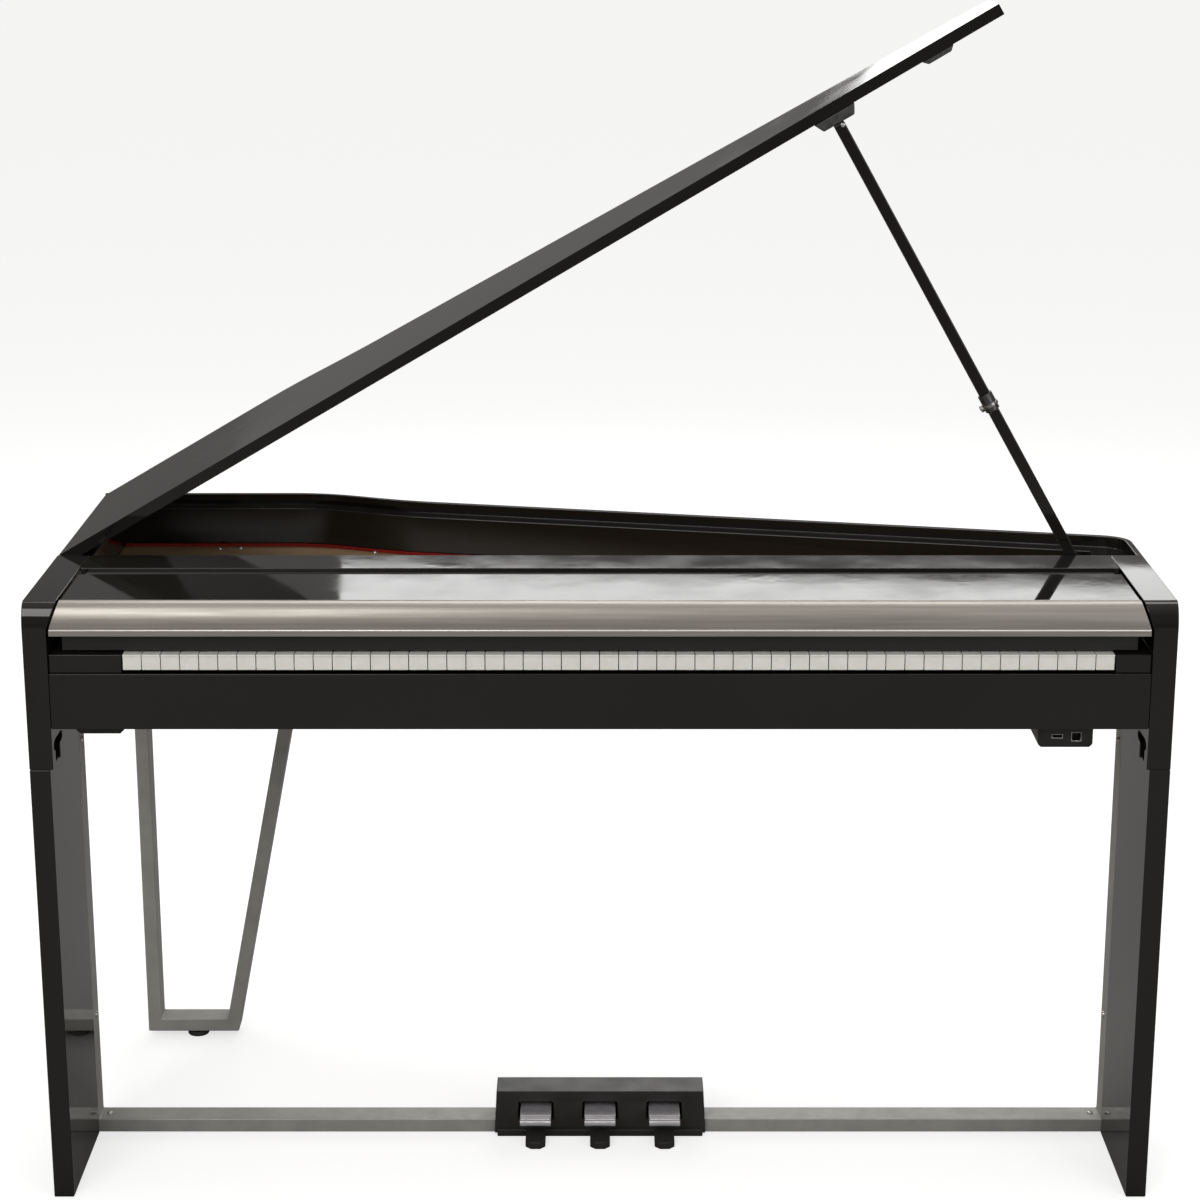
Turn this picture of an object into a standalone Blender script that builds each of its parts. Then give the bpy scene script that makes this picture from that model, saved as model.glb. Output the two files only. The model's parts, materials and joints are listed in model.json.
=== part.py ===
"""Digital grand piano with a tubular stand, an open lid on its prop and a closed keyboard cover.

Metres, +Z up. +X is the treble side, +Y the back. The origin is on the floor, under the middle of the
whole piano. Depths are measured back from the front of the two arms and turned into Y by back().
"""

import math

import bmesh
import bpy
from mathutils import Matrix, Vector
from mathutils.geometry import interpolate_bezier

# Overall sizes
WIDTH = 1.422
DEPTH = 0.602
TOP = 0.802
CASE_BOTTOM = 0.640
GAP = 0.0003

# Arms and legs
ARM = 0.030
ARM_TOP = 0.042
ARM_BOTTOM = 0.587
LEG_DEPTH = 0.185
LEG = 0.026
FASCIA_LOW = 0.768
FASCIA_DEPTH = 0.018

# Top of the case
LID_THICK = 0.0147
LIP = 0.008
WALL = 0.035
STRIP_FRONT = 0.172
STRIP_BACK = 0.240
STRIP_THICK = 0.012
PIT_RIGHT = 0.656
SOUNDBOARD_TOP = 0.732
SOUNDBOARD_THICK = 0.004
CROSSBOARD = 0.012

# Rear outline: a straight back, a bend, a diagonal and a rounded corner
BEND_START = -0.440
BEND_END = (-0.240, 0.547)
BEND_HANDLES = ((-0.360, 0.602), (-0.330, 0.567))
DIAGONAL_SLOPE = -0.215
CORNER_START = 0.672
CORNER_END = 0.312

# Boards at the bottom
BOARD_LOW = 0.641
BED_THICK = 0.020
REAR_BOARD_THICK = 0.012

# Keyboard
KEYS_LEFT = -0.590
WHITE_PITCH = 1.226 / 52
KEY_TOP = 0.735
KEY_HEIGHT = 0.020
KEY_FRONT = 0.0055
KEY_GAP = 0.0010
WHITE_HEAD_BACK = 0.054
WHITE_BACK = 0.152
BLACK_FRONT = 0.056
BLACK_BACK = 0.150
BLACK_RISE = 0.012
BLACK_TAPER = 0.0017
TAIL_LOW = 0.716
WHITE_TAIL = 0.0075
BLACK_TAIL_LOW = 0.717
BLACK_TAIL = 0.0082
TAIL_BACK = 0.222
KEY_PIVOT = (0.212, 0.722)
BAR_DEPTH = 0.008
SINGLE_KEYS = range(39, 51)
SLIP_BACK = 0.017
SLIP_TOP = 0.7115
SLIP_LIP = 0.0040
SLIP_LIP_LOW = 0.698

# Keyboard cover
COVER_AXIS = (0.150, 0.795)
PANEL_BACK = 0.148
PANEL_TOP = 0.8004
PANEL_THICK = 0.010
COVER_LIP_LOW = 0.760
SHEET = 0.0015
COVER_END_GAP = 0.003
COVER_BARREL = 0.0016
APRON_LOW = 0.738
APRON_FRONT = 0.015
APRON_BACK = 0.019
APRON_HALF = 0.665

# Lid and prop
LID_AXIS = (-0.708, 0.799)
LID_OPEN = math.radians(30.4)
LID_LEFT = -0.7045
LID_RIGHT = 0.689
LID_SIDE_GAP = 0.0006
LID_LIP_GAP = 0.002
BARREL = 0.0030
CUP_MIDDLE = 0.447
CUP_DEEP = 0.0133
CUP_LONG = 0.058
CUP_TAPER = 0.007
SHORT_CUP_MIDDLE = 0.595
SHORT_CUP_DEEP = 0.0065
SHORT_CUP_LONG = 0.045
PROP_DEPTH = 0.2505
PROP_THICK = 0.014
PROP_WIDE = 0.0145
PROP_PIVOT = (0.6435, 0.757)
PROP_LEAN = math.radians(29.6)
PROP_SEAT = 0.0005
COLLAR_FROM_TOP = 0.410
COLLAR_LONG = 0.024
COLLAR_RADIUS = 0.0095
BRACKET_CHEEK = 0.0024
BRACKET_TOP = 0.765
BRACKET_BASE = 0.003
BRACKET_HALF = 0.0110

# Stand
TUBE_DEPTH = 0.038
TUBE = 0.019
RAIL_LOW = 0.001
REAR_LEG_DEPTH = 0.495
REAR_LEG_LEFT = -0.667
REAR_LEG_FOOT_RIGHT = -0.534
REAR_LEG_LEAN = math.radians(11.1)
REAR_FOOT_TALL = 0.010
REAR_FOOT_RADIUS = 0.0155
REAR_FOOT_X = -0.596

# Pedal box and pedals
BOX_FRONT = 0.178
BOX_LEAN = 0.004
BOX_BACK = 0.228
BOX_LOW = 0.003
BOX_TOP = 0.063
BOX_HALF = 0.144
BOX_TOP_HALF = 0.141
PEDAL_PITCH = 0.0874
PEDAL_WIDE = 0.042
PEDAL_TIP = 0.144
PEDAL_TOP = 0.038
PEDAL_THICK = 0.0045
PEDAL_ROLL = 0.010
PEDAL_ROLL_THICK = 0.004
PEDAL_BACK = 0.214
PEDAL_PIVOT = (0.208, 0.036)
PEDAL_PIN = 0.0018
PEDAL_PIN_GAP = 0.0004
POCKET_SIDE = 0.003
POCKET_LOW = 0.0225
POCKET_HIGH = 0.0485
POCKET_BACK = 0.2165
TONGUE_TIP = 0.135
TONGUE_WIDE = 0.027
TONGUE_THICK = 0.010
TONGUE_CORNER = 0.007

# Boxes under the case
HEADPHONE_BOX = (-0.657, -0.595)
HEADPHONE_TALL = 0.016
PORT_BOX = (0.549, 0.618)
PORT_TALL = 0.034
UNDER_FRONT = 0.030
UNDER_BACK = 0.110

# Controls on the left cheek block
KNOB_X = -0.650
KNOB_DEPTH = 0.070
KNOB_RADIUS = 0.009
KNOB_TALL = 0.011
BUTTON_X = -0.615
BUTTON_RADIUS = 0.005
BUTTON_LOW = 0.0040
BUTTON_HIGH = 0.0030
BUTTON_POCKET = 0.0065
BUTTON_SIDE = 0.0004

# Parts inside
SPEAKERS = ((-0.450, 0.420), (0.050, 0.360))
SPEAKER_RADIUS = 0.060
SPEAKER_TALL = 0.055
SPEAKER_HOLE = 0.050

HALF = WIDTH / 2
ARM_INNER = HALF - ARM
LEDGE = TOP - LID_THICK - GAP


def back(depth):
    """World Y of a depth behind the front of the arms."""
    return depth - DEPTH / 2


def material(name, color, roughness, metallic=0.0):
    made = bpy.data.materials.new(name)
    made.use_nodes = True
    shader = made.node_tree.nodes["Principled BSDF"]
    shader.inputs["Base Color"].default_value = (*color, 1)
    shader.inputs["Roughness"].default_value = roughness
    shader.inputs["Metallic"].default_value = metallic
    return made


def make_object(name, bm, finish, pivot=(0, 0, 0), bevel=0.0, round_shape=False):
    """Turns a bmesh in world coordinates into an object whose origin is at pivot."""
    bmesh.ops.recalc_face_normals(bm, faces=bm.faces)
    mesh = bpy.data.meshes.new(name)
    bm.to_mesh(mesh)
    bm.free()
    mesh.transform(Matrix.Translation(-Vector(pivot)))
    mesh.materials.append(finish)
    if round_shape:
        mesh.shade_smooth()
        mesh.set_sharp_from_angle(angle=math.radians(35))
    made = bpy.data.objects.new(name, mesh)
    made.location = pivot
    bpy.context.scene.collection.objects.link(made)
    if bevel:
        edge = made.modifiers.new("edges", "BEVEL")
        edge.width = bevel
        edge.segments = 1
        edge.limit_method = "ANGLE"
        edge.angle_limit = math.radians(40)
    return made


def prism(name, outline, axis, start, end, finish, **options):
    """A flat outline carried along one axis: X takes (y, z) points, Y takes (x, z) and Z takes (x, y)."""
    order = {"X": (2, 0, 1), "Y": (0, 2, 1), "Z": (0, 1, 2)}[axis]
    bm = bmesh.new()
    ends = []
    for carried in (start, end):
        points = [(u, v, carried) for u, v in outline]
        ends.append([bm.verts.new([p[i] for i in order]) for p in points])
    bm.faces.new(ends[0])
    bm.faces.new(ends[1])
    count = len(outline)
    for i in range(count):
        j = (i + 1) % count
        bm.faces.new((ends[0][i], ends[0][j], ends[1][j], ends[1][i]))
    return make_object(name, bm, finish, **options)


def block(name, low, high, finish, **options):
    outline = [(low[0], low[1]), (high[0], low[1]), (high[0], high[1]), (low[0], high[1])]
    return prism(name, outline, "Z", low[2], high[2], finish, **options)


def rod(name, start, end, radius, finish, sides=24, end_radius=None, **options):
    """A round bar, or a cone where end_radius differs."""
    start, end = Vector(start), Vector(end)
    bm = bmesh.new()
    turn = (end - start).to_track_quat("Z", "Y").to_matrix().to_4x4()
    bmesh.ops.create_cone(
        bm,
        cap_ends=True,
        segments=sides,
        radius1=radius,
        radius2=radius if end_radius is None else end_radius,
        depth=(end - start).length,
        matrix=Matrix.Translation((start + end) / 2) @ turn,
    )
    return make_object(name, bm, finish, round_shape=True, **options)


def combine(target, other, operation):
    """Keeps other as a hidden operand of target. Both are placed in world coordinates."""
    modifier = target.modifiers.new(other.name, "BOOLEAN")
    modifier.operation = operation
    modifier.solver = "EXACT"
    modifier.object = other
    other.hide_render = True
    other.display_type = "WIRE"
    return target


def arc(center, radius, first, last, steps):
    """Points of a circle's arc, angles in degrees."""
    angles = [math.radians(first + (last - first) * i / steps) for i in range(steps + 1)]
    return [(center[0] + radius * math.cos(a), center[1] + radius * math.sin(a)) for a in angles]


def curve_points(first, first_handle, last_handle, last, count):
    corners = [Vector((*p, 0)) for p in (first, first_handle, last_handle, last)]
    return [(p.x, p.y) for p in interpolate_bezier(*corners, count)]


def rear_outline():
    """The outer outline of the case behind the top strip, from the bass corner to the treble side."""
    corner_y = BEND_END[1] + DIAGONAL_SLOPE * (CORNER_START - BEND_END[0])
    meet_y = BEND_END[1] + DIAGONAL_SLOPE * (HALF - BEND_END[0])
    bend = curve_points(
        (BEND_START, DEPTH), (BEND_HANDLES[0][0], DEPTH), BEND_HANDLES[1], BEND_END, 9
    )
    soften = 0.65
    corner = curve_points(
        (CORNER_START, corner_y),
        (CORNER_START + soften * (HALF - CORNER_START), corner_y + soften * (meet_y - corner_y)),
        (HALF, CORNER_END + soften * (meet_y - CORNER_END)),
        (HALF, CORNER_END),
        7,
    )
    return [(-HALF, DEPTH)] + bend + corner + [(HALF, STRIP_BACK + GAP)]


def inset(points, distance):
    """The outline moved inwards, towards the player and the middle."""
    moved = []
    for i, point in enumerate(points):
        before = Vector(points[max(i - 1, 0)])
        after = Vector(points[min(i + 1, len(points) - 1)])
        here = Vector(point)
        normals = []
        for a, b in ((before, here), (here, after)):
            if (b - a).length > 1e-9:
                along = (b - a).normalized()
                normals.append(Vector((along.y, -along.x)))
        mean = sum(normals, Vector((0, 0))).normalized()
        moved.append(tuple(here + mean * (distance / mean.dot(normals[0]))))
    return moved


def clipped(points, right):
    """The outline's points up to a right end, with one more point on that end."""
    kept = [p for p in points if p[0] < right]
    rest = [p for p in points if p[0] >= right]
    share = (right - kept[-1][0]) / (rest[0][0] - kept[-1][0])
    return kept + [(right, kept[-1][1] + share * (rest[0][1] - kept[-1][1]))]


def depth_outline(points):
    return [(x, back(depth)) for x, depth in points]


def fascia_curve(steps=7):
    """Depth and height of the convex front shared by the arms and the cover, from its foot to the top."""
    tall = TOP - FASCIA_LOW
    points = []
    for i in range(steps + 1):
        angle = math.pi / 2 * i / steps
        points.append((FASCIA_DEPTH * (1 - math.cos(angle)), FASCIA_LOW + tall * math.sin(angle)))
    return points


def arm_inner_x(height):
    """Half the distance between the arms at a height: the arms widen towards their tops."""
    share = max(0.0, (height - FASCIA_LOW) / (TOP - FASCIA_LOW))
    return ARM_INNER - (ARM_TOP - ARM) * share


def make_arm(name, side, rear_profile, finish):
    """One side panel of the case with its arm: its side view cut by its front view."""
    profile = [(0.0, ARM_BOTTOM)] + fascia_curve() + rear_profile
    profile += [(LEG_DEPTH, CASE_BOTTOM), (LEG_DEPTH, ARM_BOTTOM)]
    wide = HALF - ARM_TOP - 0.010
    outline = [(back(depth), z) for depth, z in profile]
    ends = sorted((side * wide, side * HALF))
    panel = prism(name, outline, "X", ends[0], ends[1], finish)
    below, above = ARM_BOTTOM - 0.010, TOP + 0.010
    slope_top = arm_inner_x(TOP) - (arm_inner_x(FASCIA_LOW) - arm_inner_x(TOP)) * (above - TOP) / (
        TOP - FASCIA_LOW
    )
    front = [
        (side * (HALF + 0.010), below),
        (side * (HALF + 0.010), above),
        (side * slope_top, above),
        (side * ARM_INNER, FASCIA_LOW),
        (side * ARM_INNER, below),
    ]
    keeper = prism(name + "_front_view", front, "Y", back(-0.020), back(DEPTH + 0.020), finish)
    return combine(panel, keeper, "INTERSECT")


def make_case(finish, inside, gold, felt):
    treble_rear = [(STRIP_BACK, TOP), (STRIP_BACK, CASE_BOTTOM)]
    bass_rear = [
        (STRIP_BACK, TOP),
        (STRIP_BACK, LEDGE),
        (DEPTH - WALL - GAP, LEDGE),
        (DEPTH - WALL - GAP, CASE_BOTTOM),
    ]
    make_arm("left_arm_side", -1, bass_rear, finish)
    make_arm("right_arm_side", 1, treble_rear, finish)

    outer = rear_outline()
    inner = clipped(inset(outer, WALL), PIT_RIGHT) + [(PIT_RIGHT, STRIP_BACK + GAP)]
    wall = depth_outline(outer + inner[::-1])
    rim = prism("curved_rim", wall, "Z", CASE_BOTTOM, LEDGE, finish)
    lip_inner = inset(outer, LIP)
    lip_outline = depth_outline(outer + lip_inner[::-1])
    lip = prism("rim_lip", lip_outline, "Z", LEDGE - 0.006, TOP, finish)
    combine(rim, lip, "UNION")

    pit = clipped(inset(outer, WALL + GAP), PIT_RIGHT - GAP)
    left = -(ARM_INNER - GAP)
    floor = [(left, STRIP_BACK + GAP)] + [(max(x, left), y) for x, y in pit]
    floor.append((PIT_RIGHT - GAP, STRIP_BACK + GAP))
    low = SOUNDBOARD_TOP - SOUNDBOARD_THICK
    prism("soundboard_panel", depth_outline(floor), "Z", low, SOUNDBOARD_TOP, gold)
    edge = 0.004
    strip_right = 0.250
    near = clipped(inset(outer, WALL + 0.0005), strip_right)
    far = clipped(inset(outer, WALL + 0.0005 + edge), strip_right)
    start = left + 0.002
    near = [(max(x, start), y) for x, y in near]
    far = [(max(x, start), y) for x, y in far]
    felt_low = SOUNDBOARD_TOP + GAP
    prism("soundboard_felt", depth_outline(near + far[::-1]), "Z", felt_low, felt_low + edge, felt)

    rear_board = prism(
        "rear_bottom_board",
        depth_outline(floor),
        "Z",
        BOARD_LOW,
        BOARD_LOW + REAR_BOARD_THICK,
        inside,
    )
    for index, (x, depth) in enumerate(SPEAKERS):
        hole = rod(
            f"speaker_hole_{index}",
            (x, back(depth), CASE_BOTTOM - 0.010),
            (x, back(depth), CASE_BOTTOM + 0.030),
            SPEAKER_HOLE,
            inside,
            sides=32,
        )
        combine(rear_board, hole, "DIFFERENCE")

    bed_half = ARM_INNER - GAP
    block(
        "key_bed",
        (-bed_half, back(SLIP_BACK + GAP), BOARD_LOW),
        (bed_half, back(STRIP_BACK), BOARD_LOW + BED_THICK),
        inside,
    )
    block(
        "crossboard",
        (-bed_half + 0.010, back(STRIP_BACK - CROSSBOARD), BOARD_LOW + BED_THICK + GAP),
        (bed_half - 0.010, back(STRIP_BACK) - GAP, TOP - STRIP_THICK - GAP),
        inside,
    )
    strip_half = HALF - ARM_TOP - 0.0005
    block(
        "rear_top_strip",
        (-strip_half, back(STRIP_FRONT), TOP - STRIP_THICK),
        (strip_half, back(STRIP_BACK) - GAP, TOP),
        finish,
        bevel=0.0006,
    )
    slip = [
        (0.0005, CASE_BOTTOM),
        (SLIP_BACK, CASE_BOTTOM),
        (SLIP_BACK, SLIP_LIP_LOW),
        (0.0005 + SLIP_LIP, SLIP_LIP_LOW),
        (0.0005 + SLIP_LIP, SLIP_TOP),
        (0.0005, SLIP_TOP),
    ]
    slip_outline = [(back(depth), z) for depth, z in slip]
    prism("key_slip", slip_outline, "X", -bed_half, bed_half, finish, bevel=0.0006)


def make_cheek_blocks(finish):
    low = BOARD_LOW + BED_THICK + GAP
    profile = [
        (KEY_FRONT, SLIP_LIP_LOW + 0.0005),
        (SLIP_BACK + 0.0005, SLIP_LIP_LOW + 0.0005),
        (SLIP_BACK + 0.0005, low),
        (0.200, low),
        (0.200, KEY_TOP),
        (KEY_FRONT, KEY_TOP),
    ]
    outline = [(back(depth), z) for depth, z in profile]
    outer = ARM_INNER - GAP
    keys_right = KEYS_LEFT + 52 * WHITE_PITCH
    side_gap = 0.0012
    left = prism("left_cheek_block", outline, "X", -outer, KEYS_LEFT - side_gap, finish)
    prism("right_cheek_block", outline, "X", keys_right + side_gap, outer, finish)
    pocket = rod(
        "button_pocket",
        (BUTTON_X, back(KNOB_DEPTH), KEY_TOP - BUTTON_POCKET),
        (BUTTON_X, back(KNOB_DEPTH), KEY_TOP + 0.010),
        BUTTON_RADIUS + BUTTON_SIDE,
        finish,
    )
    combine(left, pocket, "DIFFERENCE")


def make_controls(metal, plastic):
    knob_y = back(KNOB_DEPTH)
    base = KEY_TOP + GAP
    rod(
        "volume_knob",
        (KNOB_X, knob_y, base),
        (KNOB_X, knob_y, base + KNOB_TALL),
        KNOB_RADIUS,
        metal,
        end_radius=KNOB_RADIUS * 0.92,
        pivot=(KNOB_X, knob_y, base),
    )
    rod(
        "power_button",
        (BUTTON_X, knob_y, KEY_TOP - BUTTON_LOW),
        (BUTTON_X, knob_y, KEY_TOP + BUTTON_HIGH),
        BUTTON_RADIUS,
        plastic,
        pivot=(BUTTON_X, knob_y, KEY_TOP),
    )


def make_cover(finish, silver, black):
    axis_point = (0, back(COVER_AXIS[0]), COVER_AXIS[1])
    panel_half = arm_inner_x(TOP) - 0.0025
    block(
        "cover_top_panel",
        (-panel_half, back(FASCIA_DEPTH + GAP), PANEL_TOP - PANEL_THICK),
        (panel_half, back(PANEL_BACK), PANEL_TOP),
        finish,
        pivot=axis_point,
        bevel=0.0006,
    )
    outer = [(0.0, COVER_LIP_LOW)] + fascia_curve(9)
    bm = bmesh.new()
    rings = []
    for i, (depth, z) in enumerate(outer):
        before = Vector(outer[max(i - 1, 0)])
        after = Vector(outer[min(i + 1, len(outer) - 1)])
        along = (after - before).normalized()
        inner_depth = depth + SHEET * along.y
        inner_z = z - SHEET * along.x
        half = arm_inner_x(z) - COVER_END_GAP
        corners = [(-half, depth, z), (half, depth, z), (half, inner_depth, inner_z)]
        corners.append((-half, inner_depth, inner_z))
        rings.append([bm.verts.new((x, back(d), h)) for x, d, h in corners])
    bm.faces.new(rings[0])
    bm.faces.new(rings[-1])
    for lower, upper in zip(rings, rings[1:]):
        for i in range(4):
            j = (i + 1) % 4
            bm.faces.new((lower[i], lower[j], upper[j], upper[i]))
    make_object("cover_silver_front", bm, silver, pivot=axis_point, round_shape=True)
    rail = [
        (0.0023, COVER_LIP_LOW + 0.0015),
        (APRON_FRONT, COVER_LIP_LOW + 0.0015),
        (APRON_FRONT, APRON_LOW),
        (APRON_BACK, APRON_LOW),
        (APRON_BACK, PANEL_TOP - PANEL_THICK - GAP),
        (0.0090, PANEL_TOP - PANEL_THICK - GAP),
        (0.0023, FASCIA_LOW),
    ]
    rail_outline = [(back(depth), z) for depth, z in rail]
    prism("cover_apron", rail_outline, "X", -APRON_HALF, APRON_HALF, black, pivot=axis_point)
    half = 0.660
    bar_front = COVER_AXIS[0] + 0.0075
    bar = block(
        "cover_hinge_bar",
        (-half, back(bar_front), TOP - 0.020),
        (half, back(STRIP_FRONT - 0.0005), TOP - 0.005),
        black,
    )
    leaf = block(
        "cover_hinge_leaf",
        (-half, back(COVER_AXIS[0]), COVER_AXIS[1] - COVER_BARREL),
        (half, back(bar_front + 0.001), COVER_AXIS[1] - 0.0005),
        black,
    )
    barrel = rod(
        "cover_hinge_barrel",
        (-half, *axis_point[1:]),
        (half, *axis_point[1:]),
        COVER_BARREL,
        black,
        sides=12,
    )
    combine(bar, leaf, "UNION")
    combine(bar, barrel, "UNION")


def key_slots():
    """For each of the 88 keys: its colour, its white key's number and its slot at the rear."""
    slots = []
    group_of = {0: (0, 3, 5), 3: (3, 4, 7)}
    names = ["C", "C#", "D", "D#", "E", "F", "F#", "G", "G#", "A", "A#", "B"]
    white_of = {"C": 0, "D": 1, "E": 2, "F": 3, "G": 4, "A": 5, "B": 6}
    for key in range(88):
        note = (key + 9) % 12
        octave = (key + 9) // 12 - 1
        name = names[note]
        start, whites, count = group_of[0] if note < 5 else group_of[3]
        place = note if note < 5 else note - 5
        first_white = octave * 7 + start + 2
        slot = whites * WHITE_PITCH / count
        left = KEYS_LEFT + first_white * WHITE_PITCH + place * slot
        white = octave * 7 + white_of[name[0]] + 2 if "#" not in name else None
        slots.append({"name": name, "octave": octave + 1, "white": white, "rear": (left, left + slot)})
    slots[0]["rear"] = (KEYS_LEFT, slots[0]["rear"][1])
    slots[-1]["rear"] = (slots[-1]["rear"][0], KEYS_LEFT + 52 * WHITE_PITCH)
    return slots


def tail_verts(bm, left, right, step, low, high):
    """The eight corners of a key's tail, named by side, height and end."""
    found = {}
    for side, x in (("left", left), ("right", right)):
        for level, z in (("low", low), ("high", high)):
            for end, depth in (("front", step), ("back", TAIL_BACK)):
                found[side, level, end] = bm.verts.new((x, back(depth), z))
    return found


def tail_faces(bm, tail):
    """The four sides and the end of a tail. Its front is left open for the key's body."""
    corners = [("left", "low"), ("right", "low"), ("right", "high"), ("left", "high")]
    for i in range(4):
        a, b = corners[i], corners[(i + 1) % 4]
        bm.faces.new((tail[(*a, "front")], tail[(*b, "front")], tail[(*b, "back")], tail[(*a, "back")]))
    bm.faces.new([tail[(*c, "back")] for c in corners])


def white_key_mesh(bm, slot):
    """One white key in one closed shape: a head, a neck as wide as its slot, and a lower tail."""
    left = KEYS_LEFT + slot["white"] * WHITE_PITCH + KEY_GAP / 2
    right = left + WHITE_PITCH - KEY_GAP
    neck_left = max(left, slot["rear"][0] + KEY_GAP / 2)
    neck_right = min(right, slot["rear"][1] - KEY_GAP / 2)
    outline = [(left, KEY_FRONT), (right, KEY_FRONT)]
    if neck_right < right - 1e-6:
        outline += [(right, WHITE_HEAD_BACK), (neck_right, WHITE_HEAD_BACK)]
    outline += [(neck_right, WHITE_BACK), (neck_left, WHITE_BACK)]
    if neck_left > left + 1e-6:
        outline += [(neck_left, WHITE_HEAD_BACK), (left, WHITE_HEAD_BACK)]
    low, high = KEY_TOP - KEY_HEIGHT, KEY_TOP
    lower = [bm.verts.new((x, back(depth), low)) for x, depth in outline]
    upper = [bm.verts.new((x, back(depth), high)) for x, depth in outline]
    tail = tail_verts(bm, neck_left, neck_right, WHITE_BACK, TAIL_LOW, TAIL_LOW + WHITE_TAIL)
    at_left = [tail["left", level, "front"] for level in ("low", "high")]
    at_right = [tail["right", level, "front"] for level in ("low", "high")]
    bm.faces.new(lower)
    bm.faces.new(upper)
    first = outline.index((neck_right, WHITE_BACK))
    count = len(outline)
    for i in range(count):
        j = (i + 1) % count
        if i == first:
            bm.faces.new((lower[i], lower[j], at_left[0], at_right[0]))
            bm.faces.new((upper[i], upper[j], at_left[1], at_right[1]))
        elif j == first:
            bm.faces.new([lower[i], lower[j]] + at_right + [upper[j], upper[i]])
        elif i == first + 1:
            bm.faces.new([lower[i]] + at_left + [upper[i], upper[j], lower[j]])
        else:
            bm.faces.new((lower[i], lower[j], upper[j], upper[i]))
    tail_faces(bm, tail)


def black_key_mesh(bm, slot, low):
    """One black key: a tapered body with a sloping front, and a tail as low as the body."""
    left = slot["rear"][0] + KEY_GAP * 0.9
    right = slot["rear"][1] - KEY_GAP * 0.9
    high = KEY_TOP + BLACK_RISE
    front_slope = BLACK_TAPER * 2.2
    outline = [(left, BLACK_FRONT), (right, BLACK_FRONT), (right, BLACK_BACK), (left, BLACK_BACK)]
    top = [
        (left + BLACK_TAPER, BLACK_FRONT + front_slope),
        (right - BLACK_TAPER, BLACK_FRONT + front_slope),
        (right - BLACK_TAPER, BLACK_BACK),
        (left + BLACK_TAPER, BLACK_BACK),
    ]
    lower = [bm.verts.new((x, back(depth), low)) for x, depth in outline]
    upper = [bm.verts.new((x, back(depth), high)) for x, depth in top]
    ends = (left + BLACK_TAPER, right - BLACK_TAPER)
    tail = tail_verts(bm, *ends, BLACK_BACK, low, low + BLACK_TAIL)
    step = [tail["right", level, "front"] for level in ("low", "high")]
    step += [tail["left", level, "front"] for level in ("high", "low")]
    bm.faces.new(upper)
    bm.faces.new([lower[0], lower[1], lower[2], step[0], step[3], lower[3]])
    bm.faces.new((lower[0], lower[1], upper[1], upper[0]))
    bm.faces.new((lower[1], lower[2], upper[2], upper[1]))
    bm.faces.new((lower[3], lower[0], upper[0], upper[3]))
    bm.faces.new([upper[3], upper[2], lower[2]] + step + [lower[3]])
    tail_faces(bm, tail)


def make_keys(ivory, ebony):
    """Twelve keys of the middle octave on their own, and the rest in four groups on rear bars."""
    slots = key_slots()
    axis_point = (0, back(KEY_PIVOT[0]), KEY_PIVOT[1])
    for key in SINGLE_KEYS:
        slot = slots[key]
        bm = bmesh.new()
        if slot["white"] is None:
            black_key_mesh(bm, slot, TAIL_LOW)
            name = f"key_{slot['name'][0]}_sharp"
            make_object(name, bm, ebony, pivot=axis_point)
        else:
            white_key_mesh(bm, slot)
            make_object(f"key_{slot['name']}", bm, ivory, pivot=axis_point)
    white_bar = (TAIL_LOW - 0.0072, TAIL_LOW + 0.0002)
    black_bar = (BLACK_TAIL_LOW + BLACK_TAIL - 0.0002, BLACK_TAIL_LOW + BLACK_TAIL + 0.0070)
    groups = (("bass", range(0, SINGLE_KEYS[0])), ("treble", range(SINGLE_KEYS[-1] + 1, 88)))
    for group, keys in groups:
        for color, finish, bar in (("white", ivory, white_bar), ("black", ebony, black_bar)):
            chosen = [slots[k] for k in keys if (slots[k]["white"] is not None) == (color == "white")]
            bm = bmesh.new()
            for slot in chosen:
                if color == "white":
                    white_key_mesh(bm, slot)
                else:
                    black_key_mesh(bm, slot, BLACK_TAIL_LOW)
            keys_object = make_object(f"{group}_{color}_keys", bm, finish, pivot=axis_point)
            ends = (chosen[0]["rear"][0] + 0.002, chosen[-1]["rear"][1] - 0.002)
            bar_object = block(
                f"{group}_{color}_bar",
                (ends[0], back(KEY_PIVOT[0] - BAR_DEPTH / 2), bar[0]),
                (ends[1], back(KEY_PIVOT[0] + BAR_DEPTH / 2), bar[1]),
                finish,
                pivot=axis_point,
            )
            combine(keys_object, bar_object, "UNION")


def make_key_frame(steel, board):
    low = BOARD_LOW + BED_THICK + GAP
    base = low + 0.004
    front_stop = 0.700
    rear_stop = TAIL_LOW - 0.0072 - 0.0005
    profile = [
        (0.020, low),
        (TAIL_BACK, low),
        (TAIL_BACK, base),
        (0.218, base),
        (0.218, rear_stop),
        (0.206, rear_stop),
        (0.206, base),
        (0.036, base),
        (0.036, front_stop),
        (0.026, front_stop),
        (0.026, base),
        (0.020, base),
    ]
    outline = [(back(depth), z) for depth, z in profile]
    left, right = KEYS_LEFT + 0.001, KEYS_LEFT + 52 * WHITE_PITCH - 0.001
    frame = prism("key_frame", outline, "X", left, right, steel)
    slots = key_slots()
    raised = block(
        "key_frame_raised_rail",
        (slots[SINGLE_KEYS[0]]["rear"][0], back(KEY_PIVOT[0] - BAR_DEPTH / 2), rear_stop - 0.002),
        (slots[SINGLE_KEYS[-1]]["rear"][1], back(KEY_PIVOT[0] + BAR_DEPTH / 2), TAIL_LOW - 0.0005),
        steel,
    )
    combine(frame, raised, "UNION")
    block(
        "key_contact_board",
        (left + 0.010, back(0.110), base + GAP),
        (right - 0.010, back(0.150), base + GAP + 0.0016),
        board,
    )


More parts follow.
